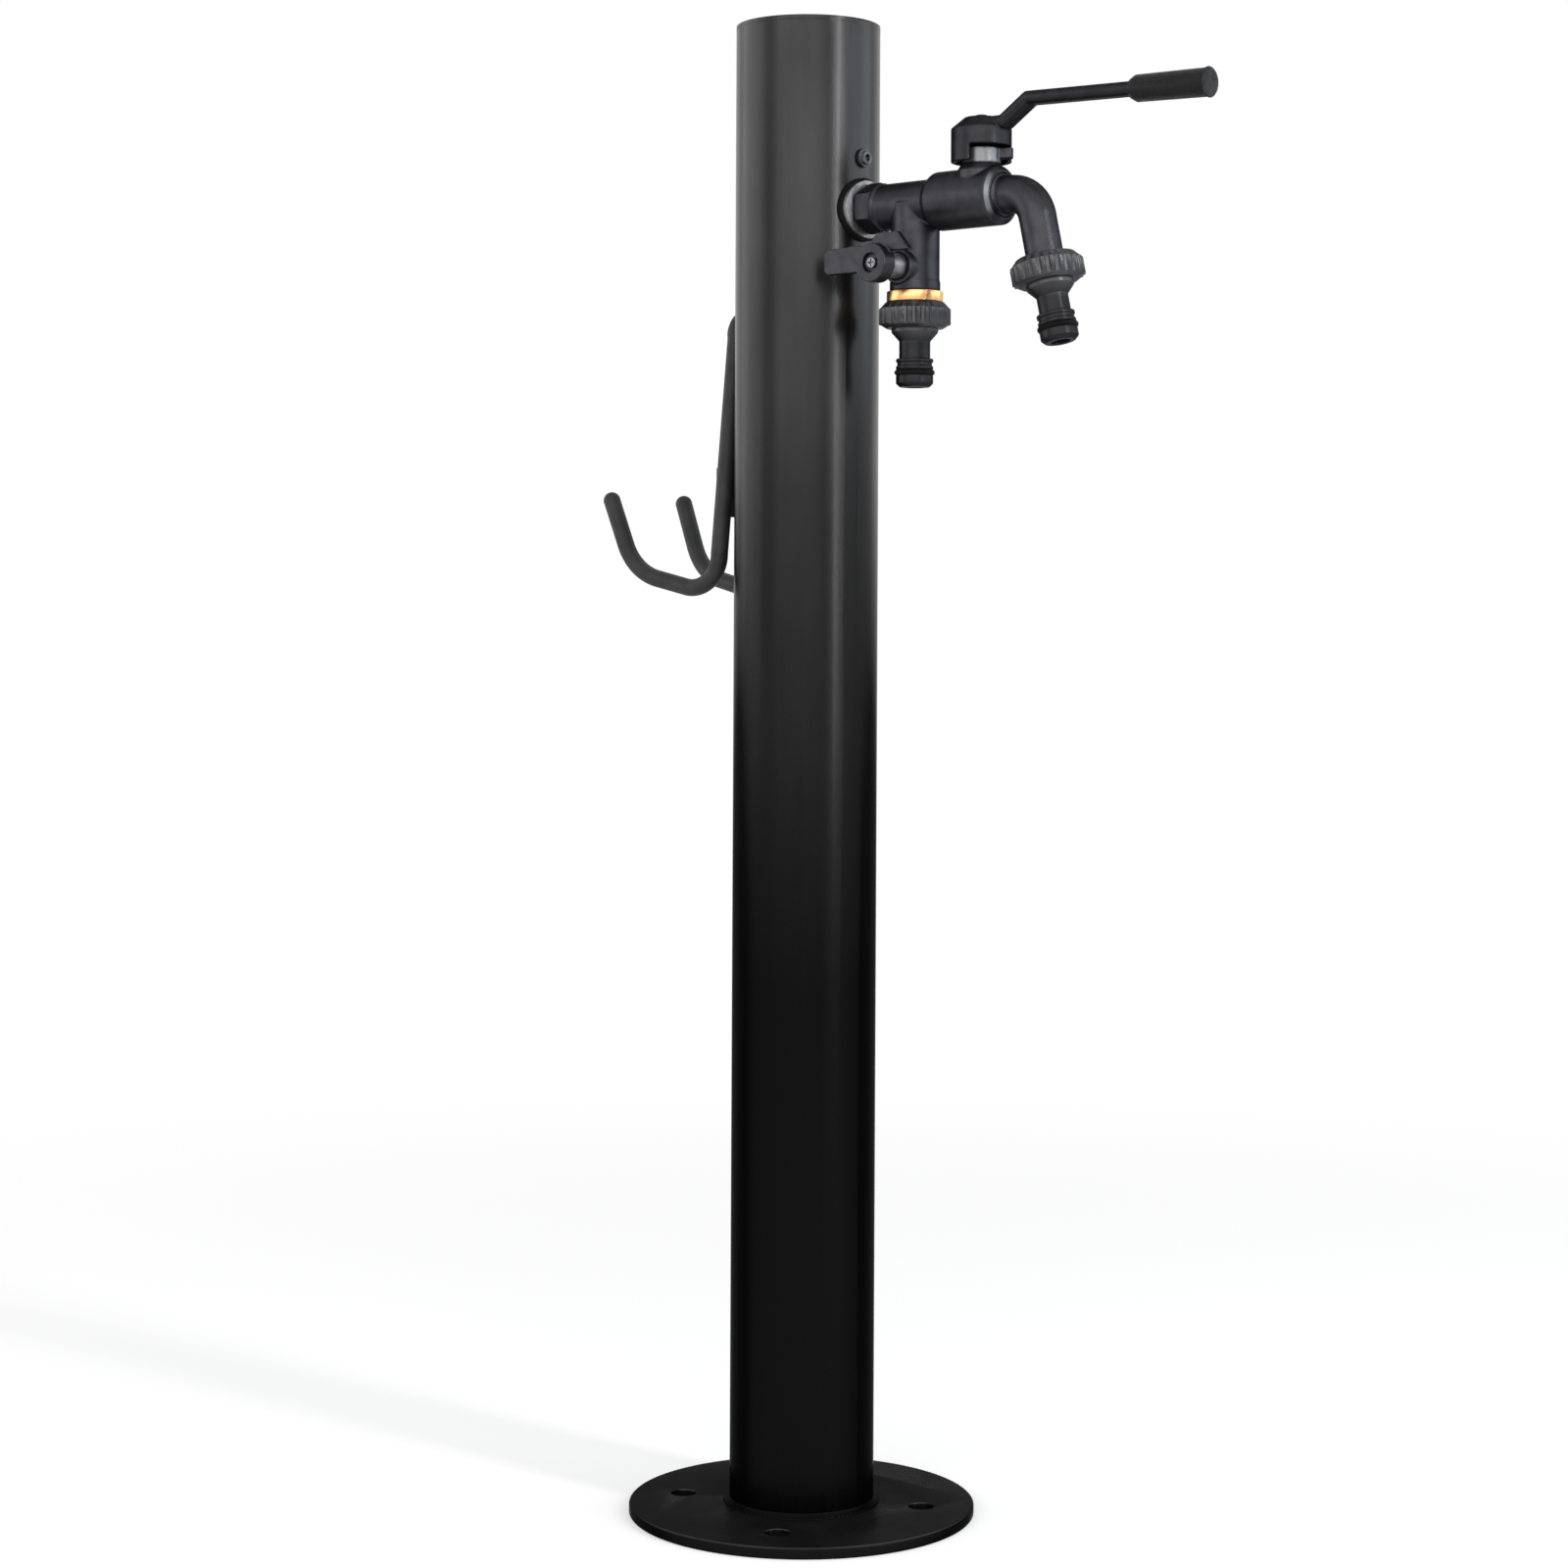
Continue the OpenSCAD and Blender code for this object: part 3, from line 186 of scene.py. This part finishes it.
def make_world():
    """A dim fill on the object, inside a surround that shows as white."""
    world = bpy.data.worlds.new("studio")
    bpy.context.scene.world = world
    world.use_nodes = True
    tree = world.node_tree
    tree.nodes.clear()
    out = tree.nodes.new("ShaderNodeOutputWorld")
    fill = glow(tree, "ShaderNodeBackground", WORLD_FILL)
    surround = glow(tree, "ShaderNodeBackground", WHITE)
    tree.links.new(mixed(tree, seen_by_eye_and_gloss(tree), fill, surround), out.inputs["Surface"])


def make_floor():
    """A pale floor that keeps the object's shadow and fades to white further out."""
    half = FLOOR_SIZE / 2
    corners = [(-half, -half, 0), (half, -half, 0), (half, half, 0), (-half, half, 0)]
    mesh = bpy.data.meshes.new("floor")
    mesh.from_pydata(corners, [], [(0, 1, 2, 3)])
    floor = bpy.data.objects.new("floor", mesh)
    bpy.context.scene.collection.objects.link(floor)
    material = bpy.data.materials.new("floor")
    material.use_nodes = True
    tree = material.node_tree
    tree.nodes.clear()
    out = tree.nodes.new("ShaderNodeOutputMaterial")
    matt = tree.nodes.new("ShaderNodeBsdfDiffuse")
    matt.inputs["Color"].default_value = FLOOR_COLOUR
    near = tree.nodes.new("ShaderNodeAddShader")
    tree.links.new(matt.outputs[0], near.inputs[0])
    tree.links.new(glow(tree, "ShaderNodeEmission", FLOOR_LIFT), near.inputs[1])
    place = tree.nodes.new("ShaderNodeTexCoord")
    reach = tree.nodes.new("ShaderNodeVectorMath")
    reach.operation = "LENGTH"
    tree.links.new(place.outputs["Object"], reach.inputs[0])
    fade = tree.nodes.new("ShaderNodeMapRange")
    fade.interpolation_type = "SMOOTHSTEP"
    fade.inputs["From Min"].default_value = FLOOR_FADE_FROM
    fade.inputs["From Max"].default_value = FLOOR_FADE_TO
    tree.links.new(reach.outputs["Value"], fade.inputs["Value"])
    far = glow(tree, "ShaderNodeEmission", WHITE)
    shown = mixed(tree, fade.outputs["Result"], near.outputs[0], far)
    surface = mixed(tree, seen_by_eye_and_gloss(tree), matt.outputs[0], shown)
    tree.links.new(surface, out.inputs["Surface"])
    mesh.materials.append(material)


# Finishes

# Nearly all of a noise texture's values lie between these two
NOISE_LOW = 0.3
NOISE_HIGH = 0.7
# An uneven value falls to this share of itself in places
UNEVEN_LOW = 0.6


class Surface:
    """A procedural material in the piece's own metres.

    plain holds what is the same all over. colour and roughness are (low, high, *noise) and
    relief is (height, *noise), where noise is what Surface.noise takes.
    """

    def __init__(self, name, plain, colour=None, roughness=None, relief=None):
        self.material = bpy.data.materials.new(name)
        self.material.use_nodes = True
        self.tree = self.material.node_tree
        self.sockets = self.tree.nodes["Principled BSDF"].inputs
        self.place = self.tree.nodes.new("ShaderNodeTexCoord").outputs
        for socket, value in plain.items():
            self.sockets[socket].default_value = value
        if colour:
            low, high, *noise = colour
            self.blend(self.spread(self.noise(*noise), 0, 1), low, high)
        if roughness:
            low, high, *noise = roughness
            self.sockets["Roughness"].default_value = (low + high) / 2
            self.tree.links.new(self.spread(self.noise(*noise), low, high), self.sockets["Roughness"])
        if relief:
            height, *noise = relief
            bump = self.tree.nodes.new("ShaderNodeBump")
            bump.inputs["Distance"].default_value = height
            self.tree.links.new(self.noise(*noise), bump.inputs["Height"])
            self.tree.links.new(bump.outputs[0], self.sockets["Normal"])

    def noise(self, size, detail=2, stretch=(1, 1, 1)):
        """Noise with spots of that size in metres, drawn out along each axis by stretch."""
        mapping = self.tree.nodes.new("ShaderNodeMapping")
        mapping.inputs["Scale"].default_value = [1 / s for s in stretch]
        self.tree.links.new(self.place["Object"], mapping.inputs["Vector"])
        texture = self.tree.nodes.new("ShaderNodeTexNoise")
        texture.inputs["Scale"].default_value = 1 / size
        texture.inputs["Detail"].default_value = detail
        self.tree.links.new(mapping.outputs[0], texture.inputs["Vector"])
        return texture.outputs["Fac"]

    def spread(self, value, low, high, from_low=NOISE_LOW, from_high=NOISE_HIGH):
        """Maps the range from from_low to from_high, by default a noise's, to that from low to high."""
        node = self.tree.nodes.new("ShaderNodeMapRange")
        node.inputs["From Min"].default_value = from_low
        node.inputs["From Max"].default_value = from_high
        node.inputs["To Min"].default_value = low
        node.inputs["To Max"].default_value = high
        self.tree.links.new(value, node.inputs["Value"])
        return node.outputs["Result"]

    def math(self, operation, *values):
        """A Math node on those sockets and numbers."""
        node = self.tree.nodes.new("ShaderNodeMath")
        node.operation = operation
        for socket, value in zip(node.inputs, values):
            if isinstance(value, float):
                socket.default_value = value
            else:
                self.tree.links.new(value, socket)
        return node.outputs[0]

    def axes(self, coordinates="Object"):
        """The X, Y and Z of the Object or Generated coordinates."""
        split = self.tree.nodes.new("ShaderNodeSeparateXYZ")
        self.tree.links.new(self.place[coordinates], split.inputs[0])
        return split.outputs

    def rise(self, coordinates, low, high):
        """0 below the height low to 1 above the height high."""
        return self.spread(self.axes(coordinates)["Z"], 0, 1, low, high)

    def reach(self, x, y):
        """The distance from the upright axis through x and y."""
        offset = self.tree.nodes.new("ShaderNodeMapping")
        offset.inputs["Scale"].default_value = (1, 1, 0)
        offset.inputs["Location"].default_value = (-x, -y, 0)
        self.tree.links.new(self.place["Object"], offset.inputs["Vector"])
        length = self.tree.nodes.new("ShaderNodeVectorMath")
        length.operation = "LENGTH"
        self.tree.links.new(offset.outputs[0], length.inputs[0])
        return length.outputs["Value"]

    def uneven(self, value, *noise):
        """The value, lessened in places by noise."""
        return self.math("MULTIPLY", value, self.spread(self.noise(*noise), UNEVEN_LOW, 1))

    def blend(self, mask, low, high, socket="Base Color"):
        """Colours the socket from low, where the mask is 0, to high, where it is 1.

        With low None, the socket keeps the colour that it has where the mask is 0.
        """
        target = self.sockets[socket]
        node = self.tree.nodes.new("ShaderNodeMix")
        node.data_type = "RGBA"
        if low is None:
            self.tree.links.new(target.links[0].from_socket, node.inputs["A"])
        else:
            node.inputs["A"].default_value = (*low, 1)
            target.default_value = (*[(a + b) / 2 for a, b in zip(low, high)], 1)
        node.inputs["B"].default_value = (*high, 1)
        self.tree.links.new(mask, node.inputs["Factor"])
        self.tree.links.new(node.outputs["Result"], target)


def grey(level):
    return (level, level, level)


# A black metal coat, weak at its edges
COAT = {"Metallic": 0.85, "Specular IOR Level": 0.03}
TAP_LOW = (0.036, 0.036, 0.04)
TAP_HIGH = (0.05, 0.05, 0.0565)


def tap_finish(share):
    """The tap's coat, with that share of its full colour."""
    return dict(
        plain={**COAT, "Specular Tint": (0.3, 0.3, 0.32, 1)},
        colour=([c * share for c in TAP_LOW], [c * share for c in TAP_HIGH], 6 * MM, 4),
        roughness=(0.34, 0.43, 4 * MM, 3),
        relief=(0.006 * MM, 0.8 * MM, 3),
    )


FINISHES = {
    "post_black": dict(
        plain=COAT,
        roughness=(0.24, 0.33, 3 * MM, 3, (1, 1, 60)),
        relief=(0.02 * MM, 1.6 * MM),
    ),
    "plate_black": dict(
        plain={**COAT, "Specular Tint": (0.15, 0.15, 0.15, 1)},
        colour=(grey(0.034), grey(0.05), 30 * MM, 4),
        roughness=(0.3, 0.42, 12 * MM, 4),
        relief=(0.02 * MM, 1.6 * MM),
    ),
    "tap_black": tap_finish(1.0),
    "valve_black": tap_finish(1.0),
    "lever_black": tap_finish(0.65),
    "grip_black": dict(
        plain={"Specular IOR Level": 0.12},
        colour=((0.0065, 0.0065, 0.007), (0.0125, 0.0125, 0.0135), 2.5 * MM, 4),
        roughness=(0.42, 0.58, 3 * MM),
        relief=(0.05 * MM, 0.6 * MM, 4),
    ),
    "connector_black": dict(
        plain={"Metallic": 0.8, "Specular IOR Level": 0.1, "Specular Tint": (0.4, 0.42, 0.45, 1)},
        roughness=(0.31, 0.4, 2 * MM),
        relief=(0.004 * MM, 0.6 * MM),
    ),
    "rubber": dict(
        plain={"Specular IOR Level": 0.06},
        colour=(grey(0.0045), grey(0.0095), 4 * MM),
        roughness=(0.6, 0.8, 2 * MM),
        relief=(0.02 * MM, 0.5 * MM),
    ),
    "hanger_grey": dict(
        plain={"Specular IOR Level": 0.22},
        colour=(grey(0.022), grey(0.037), 12 * MM, 3),
        roughness=(0.48, 0.62, 3 * MM),
        relief=(0.03 * MM, 0.9 * MM),
    ),
    "screw_black": dict(
        plain={"Metallic": 0.6},
        colour=((0.033, 0.033, 0.036), (0.09, 0.09, 0.096), 2 * MM),
        roughness=(0.3, 0.5, 1.5 * MM),
    ),
    "steel": dict(
        plain={"Metallic": 1.0},
        colour=((0.17, 0.17, 0.178), (0.27, 0.27, 0.283), 3 * MM),
        roughness=(0.4, 0.56, 1 * MM, 3),
        relief=(0.01 * MM, 0.3 * MM),
    ),
    "chrome": dict(
        plain={"Metallic": 1.0, "Base Color": (0.75, 0.75, 0.76, 1)},
        roughness=(0.08, 0.2, 2 * MM),
    ),
    "brass": dict(
        plain={"Metallic": 1.0},
        colour=((0.74, 0.37, 0.14), (0.82, 0.5, 0.24), 14 * MM),
        roughness=(0.25, 0.32, 5 * MM),
        relief=(0.001 * MM, 4 * MM, 1),
    ),
    "seat_white": dict(
        plain={"Roughness": 0.45},
        colour=((0.8, 0.8, 0.78), (0.88, 0.88, 0.86), 3 * MM),
    ),
    "pipe_white": dict(
        plain={},
        colour=((0.74, 0.74, 0.72), (0.84, 0.84, 0.82), 15 * MM),
        roughness=(0.35, 0.5, 5 * MM),
    ),
}

# These nodes show a finish of their own, and the others that of their slot in the record
OWN_FINISH = {"valve_body": "valve_black", "lever_handle": "lever_black", "base_plate": "plate_black"}

# Painted light and shade on the post: its colour and edge shine grow between these heights, lit grey
# toward the top and shaded black toward the foot
POST_PAINTED_SHADE = (0.0062, 0.0062, 0.0062)
POST_PAINTED_LIGHT = (0.038, 0.038, 0.0387)
POST_LIGHT_FROM = 0.28
POST_LIGHT_TO = 0.72
SHINE_FROM = 0.34
SHINE_TO = 0.56


def paint_post_light(surface):
    """Painted light and shade: grey toward the top, deep black with weak edges toward the foot."""
    # Painted shade on the reflections: the edge shine weakens toward the foot
    surface.blend(surface.rise("Object", SHINE_FROM, SHINE_TO), grey(0), grey(1), "Specular Tint")
    # Painted light and shade in the base colour, from black at the foot to grey at the top
    painted_light = surface.uneven(surface.rise("Object", POST_LIGHT_FROM, POST_LIGHT_TO), 40 * MM, 4, (1, 1, 3))
    surface.blend(painted_light, POST_PAINTED_SHADE, POST_PAINTED_LIGHT)


# A hose connector turns from its dark nose to its matt nut between these shares of its length
NOSE_SHARE = 0.5
NUT_SHARE = 0.7
NOSE_COLOUR = (0.022, 0.022, 0.024)
NUT_COLOUR = (0.085, 0.085, 0.09)


def grade_connector(surface):
    nut_part = surface.uneven(surface.rise("Generated", NOSE_SHARE, NUT_SHARE), 5 * MM, 3)
    surface.blend(nut_part, NOSE_COLOUR, NUT_COLOUR)


# Painted highlights: the valve body is coloured bright on the sides of its end chamfer and on the neck
# inside the lever's skirt, where highlights fall
PAINTED_HIGHLIGHT_COLOUR = (0.17, 0.175, 0.185)
RING_FROM = 2.7 * MM
RING_TO = 1.0 * MM
RING_FADE_FROM = 0.5
RING_FADE_TO = 0.85
NECK_BAND = 9.5 * MM
NECK_REACH = 10.05 * MM


def paint_valve_highlights(surface):
    bottom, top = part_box("valve_body")
    barrel_r = (top.y - bottom.y) / 2
    axes = surface.axes()
    ring = surface.math("COMPARE", axes["X"], top.x - (RING_FROM + RING_TO) / 2, (RING_FROM - RING_TO) / 2)
    # The painted highlight on the chamfer is kept to its sides, near the barrel's axis height
    climb = surface.math("ABSOLUTE", surface.math("SUBTRACT", axes["Z"], bottom.z + barrel_r))
    side = surface.spread(climb, 1, 0, RING_FADE_FROM * barrel_r, RING_FADE_TO * barrel_r)
    ring = surface.math("MULTIPLY", ring, side)
    low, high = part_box("upper_stem")
    reach = surface.reach((low.x + high.x) / 2, (low.y + high.y) / 2)
    near_stem = surface.math("LESS_THAN", reach, NECK_REACH)
    high_up = surface.math("GREATER_THAN", axes["Z"], top.z - NECK_BAND)
    neck = surface.math("MULTIPLY", near_stem, high_up)
    # Painted highlight colour on the chamfer's sides and the neck
    surface.blend(surface.math("MAXIMUM", ring, neck), None, PAINTED_HIGHLIGHT_COLOUR)


# Painted shade: the base plate's rim and the walls of its bolt holes are coloured blacker than its top
# face
PLATE_SHADE_COLOUR = (0.009, 0.009, 0.009)
PLATE_SHADE_BELOW = 0.5 * MM


def paint_plate_shade(surface):
    # Painted shade on every face below the plate's top
    painted_shade = surface.math("LESS_THAN", surface.axes()["Z"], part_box("base_plate")[1].z - PLATE_SHADE_BELOW)
    surface.blend(painted_shade, None, PLATE_SHADE_COLOUR)


def make_surfaces():
    made = {name: Surface(name, **finish) for name, finish in FINISHES.items()}
    paint_post_light(made["post_black"])
    grade_connector(made["connector_black"])
    paint_valve_highlights(made["valve_black"])
    paint_plate_shade(made["plate_black"])
    return {name: surface.material for name, surface in made.items()}


def dress(obj, node, surfaces):
    obj.data.materials.clear()
    obj.data.materials.append(surfaces[OWN_FINISH.get(node, slot_of[node])])


# Pieces

WELD_DISTANCE = 0.002 * MM
FLAT_ANGLE = math.radians(1)
SHARP_ANGLE = math.radians(35)
EDGE_SEGMENTS = 3
WEAR_FACTOR = 0.5


def stand_in(node, mesh, surfaces, matrix=Matrix.Identity(4)):
    """Shows mesh in place of a CAD node, with that node's body and finish."""
    obj = bpy.data.objects.new(node + "_shown", mesh)
    bpy.context.scene.collection.objects.link(obj)
    mesh.transform(matrix)
    mesh.shade_smooth()
    dress(obj, node, surfaces)
    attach(obj, nodes[node]["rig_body"])
    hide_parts(node)
    return obj


def clean_copy(node):
    """The node's mesh with its vertices joined and its flat areas made whole."""
    work = bmesh.new()
    work.from_mesh(nodes[node].data)
    bmesh.ops.remove_doubles(work, verts=work.verts, dist=WELD_DISTANCE)
    bmesh.ops.dissolve_limit(work, angle_limit=FLAT_ANGLE, verts=work.verts, edges=work.edges)
    mesh = bpy.data.meshes.new(node + "_shown")
    work.to_mesh(mesh)
    work.free()
    return mesh


def settle(obj):
    """Keeps the result of the piece's modifiers as its mesh."""
    graph = bpy.context.evaluated_depsgraph_get()
    mesh = bpy.data.meshes.new_from_object(obj.evaluated_get(graph))
    obj.modifiers.clear()
    obj.data = mesh


def eased(node, surfaces, width):
    """The node with its sharp edges rounded off."""
    obj = stand_in(node, clean_copy(node), surfaces)
    bevel = obj.modifiers.new("edges", "BEVEL")
    bevel.width = width
    bevel.segments = EDGE_SEGMENTS
    bevel.limit_method = "ANGLE"
    bevel.angle_limit = SHARP_ANGLE
    bevel.harden_normals = True
    settle(obj)


def cast(node, surfaces, voxel, rounds):
    """The node as a casting, with small fillets in its corners and edges worn by rounds of smoothing."""
    obj = stand_in(node, clean_copy(node), surfaces)
    remesh = obj.modifiers.new("volume", "REMESH")
    remesh.mode = "VOXEL"
    remesh.voxel_size = voxel
    remesh.use_smooth_shade = True
    smooth = obj.modifiers.new("wear", "SMOOTH")
    smooth.factor = WEAR_FACTOR
    smooth.iterations = rounds
    settle(obj)


CORNER_STEPS = 4
# The most of an edge that the corner at one end of it takes up
CORNER_SHARE = 0.45


def rounded(points, radius):
    """A closed outline with each corner rounded by up to radius."""
    out = []
    count = len(points)
    for i in range(count):
        before, corner, after = (Vector(points[(i + k) % count]) for k in (-1, 0, 1))
        back, ahead = before - corner, after - corner
        start = corner + back.normalized() * min(radius, back.length * CORNER_SHARE)
        end = corner + ahead.normalized() * min(radius, ahead.length * CORNER_SHARE)
        for k in range(CORNER_STEPS + 1):
            t = k / CORNER_STEPS
            out.append(start * (1 - t) ** 2 + corner * 2 * t * (1 - t) + end * t * t)
    return out


def lathe(name, outline, segments, relief):
    """Turns a closed outline of (radius, height) round the Z axis.

    relief(angle, radius, height) is added to the radius.
    """
    verts = []
    for i in range(segments):
        angle = 2 * math.pi * i / segments
        for radius, height in outline:
            r = radius + relief(angle, radius, height)
            verts.append((r * math.cos(angle), r * math.sin(angle), height))
    rows = len(outline)
    faces = []
    for i in range(segments):
        j = (i + 1) % segments
        for k in range(rows):
            m = (k + 1) % rows
            faces.append((i * rows + k, j * rows + k, j * rows + m, i * rows + m))
    mesh = bpy.data.meshes.new(name)
    mesh.from_pydata(verts, [], faces)
    work = bmesh.new()
    work.from_mesh(mesh)
    bmesh.ops.recalc_face_normals(work, faces=work.faces)
    work.to_mesh(mesh)
    work.free()
    return mesh


# Hose connectors: a ribbed nut, a collar, a neck and a grooved nose, hanging from z = 0
THREAD_R = 13.22 * MM
NUT_R = 17.2 * MM
NUT_H = 13.5 * MM
NUT_ROOF = 10.6 * MM
NUT_BEVEL = 0.25 * NUT_H
NUT_RIBS = 24
RIB_OUT = 1.3 * MM
RIB_TOP = -0.7 * NUT_BEVEL
RIB_BOTTOM = -NUT_H + 0.6 * NUT_BEVEL
RIB_STEEPNESS = 1.6
RIB_FADE = NUT_BEVEL / 3
RIB_SEGMENTS = 12
COLLAR_R = 12 * MM
COLLAR_H = 6.5 * MM
NECK_R = 8 * MM
NECK_H = 9 * MM
NOSE_R = 9.6 * MM
NOSE_H = 14.5 * MM
NOSE_BORE_R = 4.75 * MM
NOSE_TOP = NUT_H + COLLAR_H + NECK_H
NOSE_END = NOSE_TOP + NOSE_H
GROOVE_TOP = NOSE_TOP + 0.38 * NOSE_H
GROOVE_H = 0.2 * NOSE_H
GROOVE_DEPTH = 0.42 * (NOSE_R - NOSE_BORE_R)
NOSE_CHAMFER = 0.13 * NOSE_H
NOSE_RING_H = 0.12 * NOSE_H
NOSE_WAIST_R = NOSE_R - 0.4 * (NOSE_R - NECK_R)
NOSE_LAND_MIDDLE = (GROOVE_TOP + GROOVE_H + NOSE_END - NOSE_CHAMFER) / 2
MOULD_EDGE = 0.45 * MM


def rib(angle, radius, height):
    """How far a grip rib stands out of the nut."""
    if radius < NUT_R - 0.7 * NUT_BEVEL or not RIB_BOTTOM < height < RIB_TOP:
        return 0.0
    wave = 0.5 + RIB_STEEPNESS * math.cos(angle * NUT_RIBS)
    return RIB_OUT * min(1.0, max(0.0, wave)) * min(1.0, (RIB_TOP - height) / RIB_FADE)


def connector_mesh():
    outline = [
        (THREAD_R, 0), (NUT_R - 0.6 * NUT_BEVEL, 0), (NUT_R, -NUT_BEVEL),
        (NUT_R, -NUT_H + 0.5 * NUT_BEVEL), (NUT_R - 0.8 * NUT_BEVEL, -NUT_H),
        (COLLAR_R, -NUT_H), (COLLAR_R, -NUT_H - 0.3 * COLLAR_H),
        (NECK_R, -NUT_H - COLLAR_H), (NECK_R, -NOSE_TOP), (NOSE_R, -NOSE_TOP),
        (NOSE_R, -NOSE_TOP - NOSE_RING_H), (NOSE_WAIST_R, -NOSE_TOP - NOSE_RING_H),
        (NOSE_WAIST_R, -GROOVE_TOP + NOSE_RING_H), (NOSE_R, -GROOVE_TOP + NOSE_RING_H),
        (NOSE_R, -GROOVE_TOP), (NOSE_R - GROOVE_DEPTH, -GROOVE_TOP),
        (NOSE_R - GROOVE_DEPTH, -GROOVE_TOP - GROOVE_H), (NOSE_R, -GROOVE_TOP - GROOVE_H),
        (NOSE_R, -NOSE_END + NOSE_CHAMFER), (NOSE_R - NOSE_CHAMFER, -NOSE_END),
        (NOSE_BORE_R, -NOSE_END), (NOSE_BORE_R, -NUT_ROOF), (THREAD_R, -NUT_ROOF),
    ]
    return lathe("connector", rounded(outline, MOULD_EDGE), NUT_RIBS * RIB_SEGMENTS, rib)


def hose_connectors(surfaces):
    for side in ("lower", "upper"):
        mount = mount_of[side + "_hose_nose"]
        axis = Vector(mount["axis"])
        top = Vector(mount["pos_m"]) - axis * NOSE_LAND_MIDDLE
        turn = Vector((0, 0, -1)).rotation_difference(axis).to_matrix().to_4x4()
        stand_in(side + "_hose_connector", connector_mesh(), surfaces, Matrix.Translation(top) @ turn)


# Weld bead: a fillet between the post and the plate with a ripple round it, in shares of its leg
BEAD_STEPS = 8
BEAD_HOLLOW = 0.112
BEAD_HOLLOW_FROM = 0.15
BEAD_SAG = 0.06
BEAD_ROOT = 0.15
RIPPLES = 46
RIPPLE_DEPTH = 0.12
RIPPLE_SEGMENTS = 8


def weld_bead(surfaces):
    low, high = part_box("foot_weld")
    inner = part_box("post_tube")[1].y
    leg = high.x - inner
    outline = [(inner, low.z)]
    for k in range(BEAD_STEPS + 1):
        t = k / BEAD_STEPS
        bow = math.sin(math.pi * t)
        outline.append((
            high.x - leg * (t + BEAD_HOLLOW * bow * (t - BEAD_HOLLOW_FROM)),
            low.z + leg * t * (1 - BEAD_SAG * bow),
        ))

    def ripple(angle, radius, height):
        if radius < inner + BEAD_ROOT * leg:
            return 0.0
        return -RIPPLE_DEPTH * (radius - inner) * abs(math.sin(angle * RIPPLES))

    stand_in("foot_weld", lathe("weld", outline, RIPPLES * RIPPLE_SEGMENTS, ripple), surfaces)


# Cast pieces, each with its voxel size and rounds of wear
CAST_VOXEL = 0.45 * MM
LEVER_VOXEL = 0.4 * MM
CASTINGS = {
    "tee_body": (CAST_VOXEL, 9),
    "spout_elbow": (CAST_VOXEL, 9),
    "valve_body": (CAST_VOXEL, 6),
    "lever_handle": (LEVER_VOXEL, 7),
    "wing_lever": (LEVER_VOXEL, 3),
}

# Pieces with eased edges
GRIP_EDGE = 1.1 * MM
PLAIN_EDGE = 0.35 * MM
PLAIN_EDGED = (
    "base_plate", "hanger_plate", "hanger_washer", "hanger_screws", "elbow_fixing_screws",
    "inlet_lock_nut", "tap_washer", "tap_grommet", "lever_screw", "upper_gland", "lower_gland",
    "wing_screw", "top_cap", "outlet_nipple",
)


def make_pieces(surfaces):
    """Dresses every CAD node, then shows a finer piece in place of each one that needs it."""
    for name, obj in nodes.items():
        dress(obj, name, surfaces)
    for node, (voxel, rounds) in CASTINGS.items():
        cast(node, surfaces, voxel, rounds)
    eased("lever_grip", surfaces, GRIP_EDGE)
    for node in PLAIN_EDGED:
        eased(node, surfaces, PLAIN_EDGE)
    hose_connectors(surfaces)
    weld_bead(surfaces)


make_camera()
make_world()
make_lamps()
make_floor()
make_pieces(make_surfaces())

bpy.context.scene.view_settings.view_transform = "Standard"
